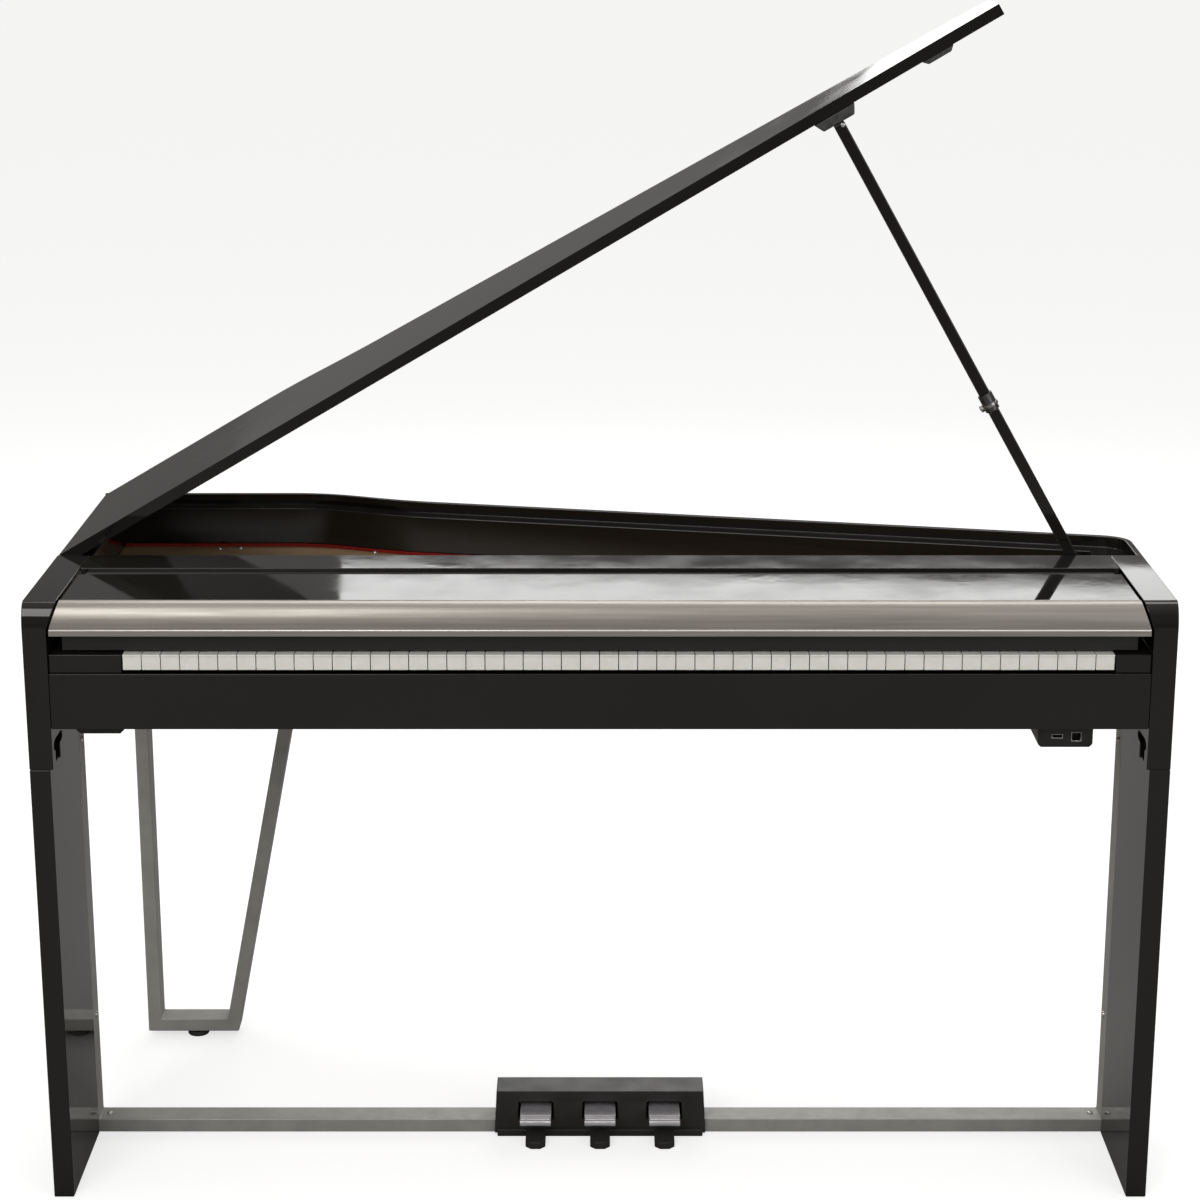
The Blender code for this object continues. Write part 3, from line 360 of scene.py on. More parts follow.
vary_roughness(screw_metal, 0.18, 0.36, 500.0)

# %% [markdown]
# Key covers are cast resin: smooth and slightly warm.

# %% Ivory
ivory = finish("ivory_keys", (0.80, 0.79, 0.74), 0.22)
vary_color(ivory, (0.77, 0.76, 0.70), (0.83, 0.82, 0.775), 55.0)
vary_roughness(ivory, 0.16, 0.30, 70.0)
key_edge = finish("key_cover_edge", (0.62, 0.52, 0.38), 0.35)
vary_roughness(key_edge, 0.28, 0.42, 80.0)

# %% [markdown]
# The soundboard is there for its looks: spruce grain under gold lacquer. Its lines run across the
# case from side to side, so they are stretched far more one way than the other.

# %% Soundboard, felt and plain board
soundboard_gold = finish("soundboard_gold", (0.30, 0.20, 0.11), 0.38)
vary_color(soundboard_gold, (0.235, 0.145, 0.070), (0.36, 0.25, 0.145), 190.0, stretch=(0.035, 1, 1))
vary_roughness(soundboard_gold, 0.30, 0.46, 220.0, stretch=(0.05, 1, 1))
add_bump(soundboard_gold, 420.0, 0.15, 0.0003, stretch=(0.03, 1, 1))
felt = finish("red_felt", (0.24, 0.012, 0.008), 0.95, specular=0.2)
vary_color(felt, (0.17, 0.008, 0.006), (0.32, 0.020, 0.012), 900.0)
add_bump(felt, 1800.0, 0.9, 0.0006)
board = finish("plain_board", (0.22, 0.155, 0.095), 0.75)
vary_color(board, (0.17, 0.115, 0.07), (0.27, 0.195, 0.125), 420.0)
vary_roughness(board, 0.68, 0.85, 60.0)
add_bump(board, 1300.0, 0.5, 0.0003)
circuit = finish("circuit_board", (0.02, 0.11, 0.04), 0.4)
vary_color(circuit, (0.012, 0.075, 0.025), (0.03, 0.15, 0.055), 160.0)
vary_roughness(circuit, 0.3, 0.5, 120.0)
cone_paper = finish("speaker_paper", (0.025, 0.025, 0.027), 0.8)
vary_roughness(cone_paper, 0.7, 0.9, 200.0)
add_bump(cone_paper, 900.0, 0.6, 0.0004)
socket_dark = finish("socket_dark", (0.004, 0.004, 0.004), 0.6)
vary_roughness(socket_dark, 0.5, 0.7, 200.0)
silver_line = finish("socket_rim", (0.42, 0.40, 0.37), 0.35, metallic=0.6)
vary_roughness(silver_line, 0.28, 0.42, 300.0)
FINISH_OF_SLOT = {
    "gloss_black": lacquer,
    "satin_black": satin,
    "board_inside": board,
    "gold_soundboard": soundboard_gold,
    "red_felt": felt,
    "silver_front": silver,
    "stand_silver": tube_paint,
    "chrome": chrome,
    "plain_steel": steel,
    "circuit_board": circuit,
    "white_keys": ivory,
    "black_keys": ebony,
}
print("finishes", len(bpy.data.materials))

# %% [markdown]
# ## Tools for making pieces
#
# A board or a tube is a flat outline carried along one line. Real edges are never sharp, so each
# piece gets a small rounded bevel, and that edge is what catches the light on black lacquer.

# %% Mesh tools
def new_piece(name, bm, material, smooth=True):
    bmesh.ops.recalc_face_normals(bm, faces=bm.faces)
    mesh = bpy.data.meshes.new(name)
    bm.to_mesh(mesh)
    bm.free()
    mesh.materials.append(material)
    if smooth:
        mesh.shade_smooth()
        mesh.set_sharp_from_angle(angle=math.radians(32))
    made = bpy.data.objects.new(name, mesh)
    bpy.context.scene.collection.objects.link(made)
    return made


def add_prism(bm, outline, axis, start, end):
    """A flat outline carried along one axis: X takes (y, z) points, Y takes (x, z) and Z takes (x, y)."""
    order = {"X": (2, 0, 1), "Y": (0, 2, 1), "Z": (0, 1, 2)}[axis]
    ends = []
    for carried in (start, end):
        points = [(u, v, carried) for u, v in outline]
        ends.append([bm.verts.new([p[i] for i in order]) for p in points])
    bm.faces.new(ends[0])
    bm.faces.new(ends[1])
    for i in range(len(outline)):
        j = (i + 1) % len(outline)
        bm.faces.new((ends[0][i], ends[0][j], ends[1][j], ends[1][i]))


def prism_piece(name, outline, axis, start, end, material):
    bm = bmesh.new()
    add_prism(bm, outline, axis, start, end)
    return new_piece(name, bm, material)


def block_piece(name, low, high, material):
    outline = [(low[0], low[1]), (high[0], low[1]), (high[0], high[1]), (low[0], high[1])]
    return prism_piece(name, outline, "Z", low[2], high[2], material)


def settled(piece):
    """The piece with its modifiers applied, as one plain mesh."""
    graph = bpy.context.evaluated_depsgraph_get()
    mesh = bpy.data.meshes.new_from_object(piece.evaluated_get(graph))
    piece.modifiers.clear()
    piece.data = mesh
    return piece


def carve(piece, other, operation="DIFFERENCE"):
    """Joins another solid to the piece, or cuts it away, and drops the other."""
    modifier = piece.modifiers.new("carve", "BOOLEAN")
    modifier.operation = operation
    modifier.solver = "EXACT"
    modifier.object = other
    settled(piece)
    bpy.data.objects.remove(other, do_unlink=True)
    return piece


def tidy_faces(mesh):
    """Welds split corners and merges flat triangles back into whole faces."""
    bm = bmesh.new()
    bm.from_mesh(mesh)
    bmesh.ops.remove_doubles(bm, verts=bm.verts, dist=2e-6)
    bmesh.ops.dissolve_limit(bm, angle_limit=math.radians(0.3), verts=bm.verts, edges=bm.edges)
    bmesh.ops.recalc_face_normals(bm, faces=bm.faces)
    bm.to_mesh(mesh)
    bm.free()


def round_edges(piece, width, segments=3, angle=32):
    edge = piece.modifiers.new("edges", "BEVEL")
    edge.width = width
    edge.segments = segments
    edge.limit_method = "ANGLE"
    edge.angle_limit = math.radians(angle)
    edge.harden_normals = True
    edge.miter_outer = "MITER_ARC"
    return piece


def seat(piece, *nodes):
    """The piece rides with the body of the nodes that it stands for."""
    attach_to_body(piece, body_of[nodes[0]])
    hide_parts(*nodes)
    return piece


def attach(piece, node):
    """An extra piece that rides with a node's body."""
    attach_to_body(piece, body_of[node])
    return piece


def soften(node, width, material=None, segments=3):
    """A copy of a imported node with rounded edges, which stands for it."""
    mesh = frame["nodes"][node].data.copy()
    tidy_faces(mesh)
    mesh.materials.clear()
    mesh.materials.append(material or FINISH_OF_SLOT[slot_of[node]])
    mesh.shade_smooth()
    mesh.set_sharp_from_angle(angle=math.radians(32))
    made = bpy.data.objects.new(node + "_finished", mesh)
    bpy.context.scene.collection.objects.link(made)
    round_edges(made, width, segments)
    return seat(made, node)


def lathe(profile, sides=40):
    """A bmesh of (radius, height) points turned about Z."""
    bm = bmesh.new()
    rings = []
    for radius, height in profile:
        if radius < 1e-7:
            rings.append([bm.verts.new((0, 0, height))])
            continue
        angles = [2 * math.pi * i / sides for i in range(sides)]
        rings.append([bm.verts.new((radius * math.cos(a), radius * math.sin(a), height)) for a in angles])
    for lower, upper in zip(rings, rings[1:]):
        for i in range(sides):
            j = (i + 1) % sides
            corners = [lower[i % len(lower)], lower[j % len(lower)]]
            corners += [upper[j % len(upper)], upper[i % len(upper)]]
            unique = list(dict.fromkeys(corners))
            if len(unique) > 2:
                bm.faces.new(unique)
    return bm


def turned(name, profile, place, direction, material, sides=40):
    """A lathed piece that stands at a place and points in a direction."""
    bm = lathe(profile, sides)
    turn = Vector(direction).to_track_quat("Z", "Y").to_matrix().to_4x4()
    bmesh.ops.transform(bm, matrix=Matrix.Translation(Vector(place)) @ turn, verts=bm.verts)
    return new_piece(name, bm, material)


# %% [markdown]
# ## The plain boards, tubes and boxes
#
# Most nodes already have the right shape. A copy with rounded edges stands for each: big panels get a
# soft edge of a millimetre or so, tubes a round one, and small parts a finer one.

# %% Rounded copies
EDGES = {
    "key_slip": 0.0012,
    "left_cheek_block": 0.0009,
    "right_cheek_block": 0.0009,
    "rear_top_strip": 0.0010,
    "cover_top_panel": 0.0010,
    "cover_apron": 0.0006,
    "cover_hinge_bar": 0.0004,
    "left_leg_panel": 0.0016,
    "right_leg_panel": 0.0016,
    "key_bed": 0.0006,
    "rear_bottom_board": 0.0006,
    "crossboard": 0.0005,
    "soundboard_panel": 0.0003,
    "soundboard_felt": 0.0006,
    "lid_hinge": 0.0003,
    "prop_foot_bracket": 0.0005,
    "prop_cup": 0.0018,
    "short_prop_cup": 0.0014,
    "prop_lower_stick": 0.0016,
    "prop_collar": 0.0008,
    "headphone_box": 0.0010,
    "stand_frame": 0.0024,
    "rear_leg_loop": 0.0024,
    "key_frame": 0.0004,
    "key_contact_board": 0.0002,
    "main_board": 0.0002,
    "amplifier_board": 0.0002,
    "power_button": 0.0006,
}
for node, width in EDGES.items():
    soften(node, width)
soften("pedal_foot_plate", 0.0012, box_plastic)
soften("pedal_box", 0.0013, box_plastic)
print("rounded copies", len(EDGES) + 2)

# %% [markdown]
# ## Arms
#
# Each side board ends in an arm that curves down at the front, and the cover's silver front follows
# the same curve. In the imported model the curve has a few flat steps. Here it is fine enough to mirror
# the room in one smooth band. The inner face widens towards the top, and a pocket low down gives a
# hand's way to the bolt that holds the leg.

# %% The fascia's curve
def fascia_curve(steps):
    """Depth and height of the convex front, from its foot to the top."""
    tall = TOP - FASCIA_LOW
    points = []
    for i in range(steps + 1):
        angle = math.pi / 2 * i / steps
        points.append((FASCIA_DEPTH * (1 - math.cos(angle)), FASCIA_LOW + tall * math.sin(angle)))
    return points


def arm_inner_x(height):
    share = max(0.0, (height - FASCIA_LOW) / (TOP - FASCIA_LOW))
    return ARM_INNER - (ARM_INNER - ARM_TOP_INNER) * share


# %% Arms
POCKET_DEEP = 0.014
POCKET = [
    (0.019, ARM_BOTTOM - 0.010), (0.048, ARM_BOTTOM - 0.010), (0.048, 0.6075), (0.061, 0.6095),
    (0.065, 0.6130), (0.063, 0.6180), (0.056, 0.6205), (0.020, 0.6205), (0.013, 0.6180),
    (0.011, 0.6130), (0.013, 0.6090), (0.019, 0.6075),
]


def make_arm(node, side, rear_profile):
    profile = [(0.0, ARM_BOTTOM)] + fascia_curve(28) + rear_profile
    profile += [(LEG_DEPTH, CASE_BOTTOM), (LEG_DEPTH, ARM_BOTTOM)]
    outline = [(back(depth), z) for depth, z in profile]
    ends = sorted((side * 0.650, side * HALF))
    panel = prism_piece(node + "_finished", outline, "X", ends[0], ends[1], lacquer)
    slope = (ARM_INNER - ARM_TOP_INNER) / (TOP - FASCIA_LOW)
    above = TOP + 0.010
    front = [
        (side * (HALF + 0.010), ARM_BOTTOM - 0.010),
        (side * (HALF + 0.010), above),
        (side * (ARM_TOP_INNER - slope * 0.010), above),
        (side * ARM_INNER, FASCIA_LOW),
        (side * ARM_INNER, ARM_BOTTOM - 0.010),
    ]
    keeper = prism_piece("front_view", front, "Y", back(-0.02), back(DEPTH + 0.02), lacquer)
    carve(panel, keeper, "INTERSECT")
    pocket_ends = sorted((side * (ARM_INNER - 0.002), side * (ARM_INNER + POCKET_DEEP)))
    pocket = [(back(depth), z) for depth, z in POCKET]
    carve(panel, prism_piece("bolt_pocket", pocket, "X", *pocket_ends, lacquer))
    tidy_faces(panel.data)
    panel.data.shade_smooth()
    panel.data.set_sharp_from_angle(angle=math.radians(30))
    round_edges(panel, 0.0011, 3, angle=30)
    return seat(panel, node)


wall_front = DEPTH - WALL - SMALL_GAP
make_arm("left_arm_side", -1, [
    (STRIP_BACK, TOP), (STRIP_BACK, LEDGE), (wall_front, LEDGE), (wall_front, CASE_BOTTOM),
])
make_arm("right_arm_side", 1, [(STRIP_BACK, TOP), (STRIP_BACK, CASE_BOTTOM)])
print("arms curve from height", FASCIA_LOW, "to", TOP)

# %% [markdown]
# ## Rim and lid
#
# The rear wall runs straight behind the bass, bends, and goes down the treble side on a slant. The lid
# drops inside the wall's thin lip, so both come from one outline: the lid's is only moved inwards.

# %% The rear outline
BEND_START, BEND_END = -0.440, (-0.240, 0.547)
BEND_HANDLES = ((-0.360, DEPTH), (-0.330, 0.567))
DIAGONAL_SLOPE = -0.215
CORNER_START, CORNER_END, CORNER_SOFTEN = 0.672, 0.312, 0.65


def curve_points(first, first_handle, last_handle, last, count):
    corners = [Vector((*p, 0)) for p in (first, first_handle, last_handle, last)]
    return [(p.x, p.y) for p in interpolate_bezier(*corners, count)]


def rear_outline(bend_count=28, corner_count=18):
    corner_y = BEND_END[1] + DIAGONAL_SLOPE * (CORNER_START - BEND_END[0])
    meet_y = BEND_END[1] + DIAGONAL_SLOPE * (HALF - BEND_END[0])
    bend = curve_points((BEND_START, DEPTH), *BEND_HANDLES, BEND_END, bend_count)
    corner = curve_points(
        (CORNER_START, corner_y),
        (
            CORNER_START + CORNER_SOFTEN * (HALF - CORNER_START),
            corner_y + CORNER_SOFTEN * (meet_y - corner_y),
        ),
        (HALF, CORNER_END + CORNER_SOFTEN * (meet_y - CORNER_END)),
        (HALF, CORNER_END),
        corner_count,
    )
    return [(-HALF, DEPTH)] + bend + corner + [(HALF, STRIP_BACK + SMALL_GAP)]


def inset(points, distance):
    """The outline moved inwards, towards the player and the middle."""
    moved = []
    for i, point in enumerate(points):
        before = Vector(points[max(i - 1, 0)])
        after = Vector(points[min(i + 1, len(points) - 1)])
        here = Vector(point)
        normals = []
        for a, b in ((before, here), (here, after)):
            if (b - a).length > 1e-9:
                along = (b - a).normalized()
                normals.append(Vector((along.y, -along.x)))
        mean = sum(normals, Vector((0, 0))).normalized()
        moved.append(tuple(here + mean * (distance / mean.dot(normals[0]))))
    return moved


def clipped(points, right):
    kept = [p for p in points if p[0] < right]
    rest = [p for p in points if p[0] >= right]
    share = (right - kept[-1][0]) / (rest[0][0] - kept[-1][0])
    return kept + [(right, kept[-1][1] + share * (rest[0][1] - kept[-1][1]))]


def in_world(points):
    return [(x, back(depth)) for x, depth in points]


# %% Rim
outer = rear_outline()
inner = clipped(inset(outer, WALL), PIT_RIGHT) + [(PIT_RIGHT, STRIP_BACK + SMALL_GAP)]
rim_top = TOP - 0.0147 - SMALL_GAP
rim = prism_piece("curved_rim_finished", in_world(outer + inner[::-1]), "Z", CASE_BOTTOM, rim_top, lacquer)
lip_outline = in_world(outer + inset(outer, LIP)[::-1])
carve(rim, prism_piece("lip", lip_outline, "Z", rim_top - 0.006, TOP, lacquer), "UNION")
tidy_faces(rim.data)
rim.data.shade_smooth()
rim.data.set_sharp_from_angle(angle=math.radians(30))
round_edges(rim, 0.0009, 3, angle=30)
seat(rim, "curved_rim")
print("rim corners", len(rim.data.vertices))

# %% Lid
LID_THICK = 0.0147
LID_RIGHT = 0.689
LID_LEFT = -0.7045
lid_rear = clipped(inset(rear_outline(), LIP + 0.002), LID_RIGHT)
lid_front = STRIP_BACK + 0.0006
lid_points = [(LID_LEFT, lid_front), (LID_RIGHT, lid_front)] + lid_rear[::-1]
lid_points = [(max(x, LID_LEFT), depth) for x, depth in lid_points]


def open_with_lid(piece):
    """Turns a piece made in the closed position up about the lid's hinge."""
    turn = Matrix.Translation(LID_AXIS) @ Matrix.Rotation(-LID_OPEN, 4, "Y") @ Matrix.Translation(-LID_AXIS)
    piece.data.transform(turn)
    return piece


lid = open_with_lid(
    prism_piece("lid_panel_finished", in_world(lid_points), "Z", TOP - LID_THICK, TOP, lacquer)
)
round_edges(lid, 0.0016, 4, angle=30)
seat(lid, "lid_panel")
print("lid reaches", round(max(v.co.z for v in lid.data.vertices), 3))

# %% [markdown]
# ## The cover's silver front
#
# A bent aluminium sheet covers the front of the keyboard cover from arm to arm. A bead runs
# along its lower edge, above a short upright lip; its pale colour is a painted highlight line.

# %% Silver front
SHEET = 0.0015
END_GAP = 0.003
LIP_LOW = 0.760


def sheet_rings(bm, points, thickness):
    rings = []
    for i, (depth, z) in enumerate(points):
        before = Vector(points[max(i - 1, 0)])
        after = Vector(points[min(i + 1, len(points) - 1)])
        along = (after - before).normalized()
        inner_depth = depth + thickness * along.y
        inner_z = z - thickness * along.x
        half = arm_inner_x(z) - END_GAP
        corners = [(-half, depth, z), (half, depth, z), (half, inner_depth, inner_z)]
        corners.append((-half, inner_depth, inner_z))
        rings.append([bm.verts.new((x, back(d), h)) for x, d, h in corners])
    bm.faces.new(rings[0])
    bm.faces.new(rings[-1])
    for lower, upper in zip(rings, rings[1:]):
        for i in range(4):
            j = (i + 1) % 4
            bm.faces.new((lower[i], lower[j], upper[j], upper[i]))


bm = bmesh.new()
sheet_rings(bm, [(0.0, LIP_LOW)] + fascia_curve(30), SHEET)
sheet = new_piece("cover_silver_front_finished", bm, silver)
round_edges(sheet, 0.0004, 2, angle=40)
seat(sheet, "cover_silver_front")

BEAD_RADIUS = 0.0013
bead_half = ARM_INNER - END_GAP - 0.0004
bm = lathe([(0, 0), (BEAD_RADIUS * 0.7, 0.0002), (BEAD_RADIUS, 0.0010),
            (BEAD_RADIUS, 2 * bead_half - 0.0010), (BEAD_RADIUS * 0.7, 2 * bead_half - 0.0002),
            (0, 2 * bead_half)], 16)
bmesh.ops.transform(bm, matrix=Matrix.Rotation(math.radians(90), 4, "Y"), verts=bm.verts)
bmesh.ops.translate(bm, vec=(-bead_half, back(0.0006), FASCIA_LOW - 0.0005), verts=bm.verts)
attach(new_piece("cover_front_bead", bm, bead_highlight_finish), "cover_silver_front")
print("silver front", round(2 * bead_half, 3), "m long")

# %% [markdown]
# ## Keys
#
# A white key has a resin cover that laps a little over its front. A black key slopes at the front and
# narrows towards its top. Twelve in the middle move on their own and the rest in four groups, so one
# function builds the keys of any body.

# %% Key places
KEYS_LEFT = -0.590
WHITE_PITCH = 1.226 / 52
KEY_GAP = 0.0010
KEY_TOP = 0.735
KEY_LOW = 0.715
KEY_FRONT = 0.0055
HEAD_BACK, WHITE_BACK = 0.054, 0.152
BLACK_FRONT, BLACK_BACK = 0.056, 0.150
TAIL_BACK = 0.222


def key_slots():
    slots = []
    names = ["C", "C#", "D", "D#", "E", "F", "F#", "G", "G#", "A", "A#", "B"]
    white_of = {"C": 0, "D": 1, "E": 2, "F": 3, "G": 4, "A": 5, "B": 6}
    for key in range(88):
        note, octave = (key + 9) % 12, (key + 9) // 12 - 1
        name = names[note]
        start, whites, count = (0, 3, 5) if note < 5 else (3, 4, 7)
        width = whites * WHITE_PITCH / count
        left = KEYS_LEFT + (octave * 7 + start + 2) * WHITE_PITCH + (note if note < 5 else note - 5) * width
        white = octave * 7 + white_of[name[0]] + 2 if "#" not in name else None
        slots.append({"name": name, "white": white, "rear": [left, left + width]})
    slots[0]["rear"][0] = KEYS_LEFT
    slots[-1]["rear"][1] = KEYS_LEFT + 52 * WHITE_PITCH
    return slots


SLOTS = key_slots()
print("keys", len(SLOTS), "white", sum(slot["white"] is not None for slot in SLOTS))

# %% White keys
COVER_THICK = 0.0026
COVER_LAP = 0.0012


def white_outline(slot, front):
    left = KEYS_LEFT + slot["white"] * WHITE_PITCH + KEY_GAP / 2
    right = left + WHITE_PITCH - KEY_GAP
    neck_left = max(left, slot["rear"][0] + KEY_GAP / 2)
    neck_right = min(right, slot["rear"][1] - KEY_GAP / 2)
    points = [(left, front), (right, front)]
    if neck_right < right - 1e-6:
        points += [(right, HEAD_BACK), (neck_right, HEAD_BACK)]
    points += [(neck_right, WHITE_BACK), (neck_left, WHITE_BACK)]
    if neck_left > left + 1e-6:
        points += [(neck_left, HEAD_BACK), (left, HEAD_BACK)]
    return in_world(points), (neck_left, neck_right)


def add_white_key(bm, slot):
    body, neck = white_outline(slot, KEY_FRONT + COVER_LAP)
    add_prism(bm, body, "Z", KEY_LOW, KEY_TOP - COVER_THICK)
    cover, _ = white_outline(slot, KEY_FRONT)
    add_prism(bm, cover, "Z", KEY_TOP - COVER_THICK + 0.00004, KEY_TOP)
    tail = in_world([(neck[0], WHITE_BACK + 0.00004), (neck[1], WHITE_BACK + 0.00004),
                     (neck[1], TAIL_BACK), (neck[0], TAIL_BACK)])
    add_prism(bm, tail, "Z", 0.716, 0.7235)


# %% Black keys
BLACK_TOP = 0.747
BLACK_TAPER = 0.0017


def add_black_key(bm, slot, low):
    left = slot["rear"][0] + KEY_GAP * 0.9
    right = slot["rear"][1] - KEY_GAP * 0.9
    front_slope = BLACK_TAPER * 2.2
    lower = [(left, BLACK_FRONT), (right, BLACK_FRONT), (right, BLACK_BACK), (left, BLACK_BACK)]
    upper = [
        (left + BLACK_TAPER, BLACK_FRONT + front_slope),
        (right - BLACK_TAPER, BLACK_FRONT + front_slope),
        (right - BLACK_TAPER, BLACK_BACK),
        (left + BLACK_TAPER, BLACK_BACK),
    ]
    base = [bm.verts.new((x, back(d), low)) for x, d in lower]
    top = [bm.verts.new((x, back(d), BLACK_TOP)) for x, d in upper]
    bm.faces.new(base)
    bm.faces.new(top)
    for i in range(4):
        j = (i + 1) % 4
        bm.faces.new((base[i], base[j], top[j], top[i]))
    tail = in_world([(left + BLACK_TAPER, BLACK_BACK + 0.00004), (right - BLACK_TAPER, BLACK_BACK + 0.00004),
                     (right - BLACK_TAPER, TAIL_BACK), (left + BLACK_TAPER, TAIL_BACK)])
    add_prism(bm, tail, "Z", low, low + 0.0082)


# %% Key pieces
FIRST_SINGLE, LAST_SINGLE = 39, 50
TAIL_LOW, BLACK_TAIL_LOW = 0.716, 0.717


def make_key_piece(node, slots, white, low, bar=None):
    bm = bmesh.new()
    for slot in slots:
        if white:
            add_white_key(bm, slot)
        else:
            add_black_key(bm, slot, low)
    if bar:
        ends = (slots[0]["rear"][0] + 0.002, slots[-1]["rear"][1] - 0.002)
        outline = in_world([(ends[0], 0.208), (ends[1], 0.208), (ends[1], 0.216), (ends[0], 0.216)])
        add_prism(bm, outline, "Z", *bar)
    piece = new_piece(node + "_finished", bm, ivory if white else ebony)
    round_edges(piece, 0.0005 if white else 0.0011, 2 if white else 3)
    return seat(piece, node)


for key in range(FIRST_SINGLE, LAST_SINGLE + 1):
    slot = SLOTS[key]
    label = slot["name"].replace("#", "_sharp")
    make_key_piece(f"key_{label}", [slot], slot["white"] is not None, TAIL_LOW)
for group, keys in (("bass", SLOTS[:FIRST_SINGLE]), ("treble", SLOTS[LAST_SINGLE + 1:])):
    whites = [slot for slot in keys if slot["white"] is not None]
    blacks = [slot for slot in keys if slot["white"] is None]
    make_key_piece(f"{group}_white_keys", whites, True, TAIL_LOW, (0.7088, 0.7162))
    make_key_piece(f"{group}_black_keys", blacks, False, BLACK_TAIL_LOW, (0.7250, 0.7322))
print("key pieces", 16)

# %% [markdown]
# ## Pedals
#
# Each pedal is a chromed plate whose front edge is rolled into a round bar, with a groove behind the
# roll. The outline is drawn from the side and carried across, then its ends are rounded.

# %% Pedals
PEDAL_WIDE = 0.042
PEDAL_PITCH = 0.0874
ROLL_MIDDLE = (0.1490, 0.0330)
ROLL_RADIUS = 0.0050


def pedal_profile():
    points = [(0.2140, 0.0380), (0.1575, 0.0380), (0.1562, 0.0374), (0.1552, 0.0364), (0.1540, 0.0362)]
    for i in range(17):
        angle = math.radians(52 + (290 - 52) * i / 16)
        points.append((ROLL_MIDDLE[0] + ROLL_RADIUS * math.cos(angle),
                       ROLL_MIDDLE[1] + ROLL_RADIUS * math.sin(angle)))
    return points + [(0.1545, 0.0335), (0.2140, 0.0335)]


for number, name in ((-1, "left"), (0, "middle"), (1, "right")):
    middle = number * PEDAL_PITCH
    half = PEDAL_WIDE / 2
    side_view = [(back(depth), z) for depth, z in pedal_profile()]
    pedal = prism_piece(f"{name}_pedal_finished", side_view, "X", middle - half, middle + half, chrome)
    pin = turned("pin", [(0, -0.0236), (0.0018, -0.0236), (0.0018, 0.0236), (0, 0.0236)],
                 (middle, back(0.208), 0.036), (1, 0, 0), chrome, 20)
    carve(pedal, pin, "UNION")
    tidy_faces(pedal.data)
    pedal.data.shade_smooth()
    pedal.data.set_sharp_from_angle(angle=math.radians(34))
    round_edges(pedal, 0.0012, 3, angle=40)
    seat(pedal, f"{name}_pedal")
print("pedals are", PEDAL_WIDE, "m wide")

# %% [markdown]
# ## Prop
#
# The upper stick narrows slightly towards the collar, where the two lengths of the prop meet, and a
# small bright knob on the collar locks them. A bright pin shows at the top.

# %% Prop
PROP_PIVOT = Vector((0.6435, back(0.2505), 0.757))
PROP_LEAN = math.radians(29.6)


def on_prop(distance, side=0.0):
    up = Vector((-math.sin(PROP_LEAN), 0, math.cos(PROP_LEAN)))
    right = Vector((math.cos(PROP_LEAN), 0, math.sin(PROP_LEAN)))
    return PROP_PIVOT + up * distance + right * side


stick = soften("prop_upper_stick", 0.0016)
collar_low, collar_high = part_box("prop_collar")
collar_middle = (collar_low + collar_high) / 2
reach = (collar_middle - PROP_PIVOT).length
bm = lathe([(0.0098, -0.0026), (0.0108, -0.0020), (0.0110, 0), (0.0108, 0.0020), (0.0098, 0.0026)], 36)
turn = Matrix.Rotation(-PROP_LEAN, 4, "Y")
bmesh.ops.solidify(bm, geom=bm.faces[:], thickness=0.0008)
bmesh.ops.transform(bm, matrix=Matrix.Translation(on_prop(reach - 0.004)) @ turn, verts=bm.verts)
attach(new_piece("prop_collar_ring", bm, screw_metal), "prop_collar")
knob_face = on_prop(reach - 0.0035, -0.0118)
attach(
    turned("prop_collar_knob_cap", [(0, -0.0018), (0.0036, -0.0018), (0.0041, -0.0008), (0.0041, 0.0012),
           (0.0034, 0.0022), (0.0016, 0.0027), (0, 0.0028)], knob_face, on_prop(0, -1) - PROP_PIVOT,
           screw_metal, 28),
    "prop_collar",
)
stick_low, stick_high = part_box("prop_upper_stick")
length = (Vector((stick_low.x, 0, stick_high.z)) - Vector((PROP_PIVOT.x, 0, PROP_PIVOT.z))).length
pin_profile = [(0, 0), (0.0028, 0), (0.0030, 0.0006), (0.0026, 0.0014), (0.0012, 0.0018), (0, 0.0018)]
pin_place = on_prop(length - 0.010, 0.0035) + Vector((0, -0.0072, 0))
attach(turned("prop_top_pin", pin_profile, pin_place, (0, -1, 0), screw_metal, 24), "prop_upper_stick")
print("prop length", round(length, 3))

# %% [markdown]
# ## Small metal: screws
#
# Pan-head screws hold the stand together and the soundboard down. One function makes a domed head
# with a cross recess and stands it on any face.

# %% Screws
def screw(name, place, direction, radius, node, material=screw_metal):
    profile = [(0, 0), (radius, 0), (radius, radius * 0.22), (radius * 0.86, radius * 0.48),
               (radius * 0.55, radius * 0.62), (0, radius * 0.66)]
    made = turned(name, profile, (0, 0, 0), (0, 0, 1), material, 28)
    for turn_angle in (0, 90):
        arm = block_piece("cross", (-radius * 0.62, -radius * 0.11, radius * 0.30),
                          (radius * 0.62, radius * 0.11, radius * 0.9), material)
        arm.data.transform(Matrix.Rotation(math.radians(turn_angle), 4, "Z"))
        carve(made, arm)
    turn = Vector(direction).to_track_quat("Z", "Y").to_matrix().to_4x4()
    made.data.transform(Matrix.Translation(Vector(place)) @ turn)
    made.data.materials.clear()
    made.data.materials.append(material)
    made.data.shade_smooth()
    made.data.set_sharp_from_angle(angle=math.radians(35))
    return attach(made, node)


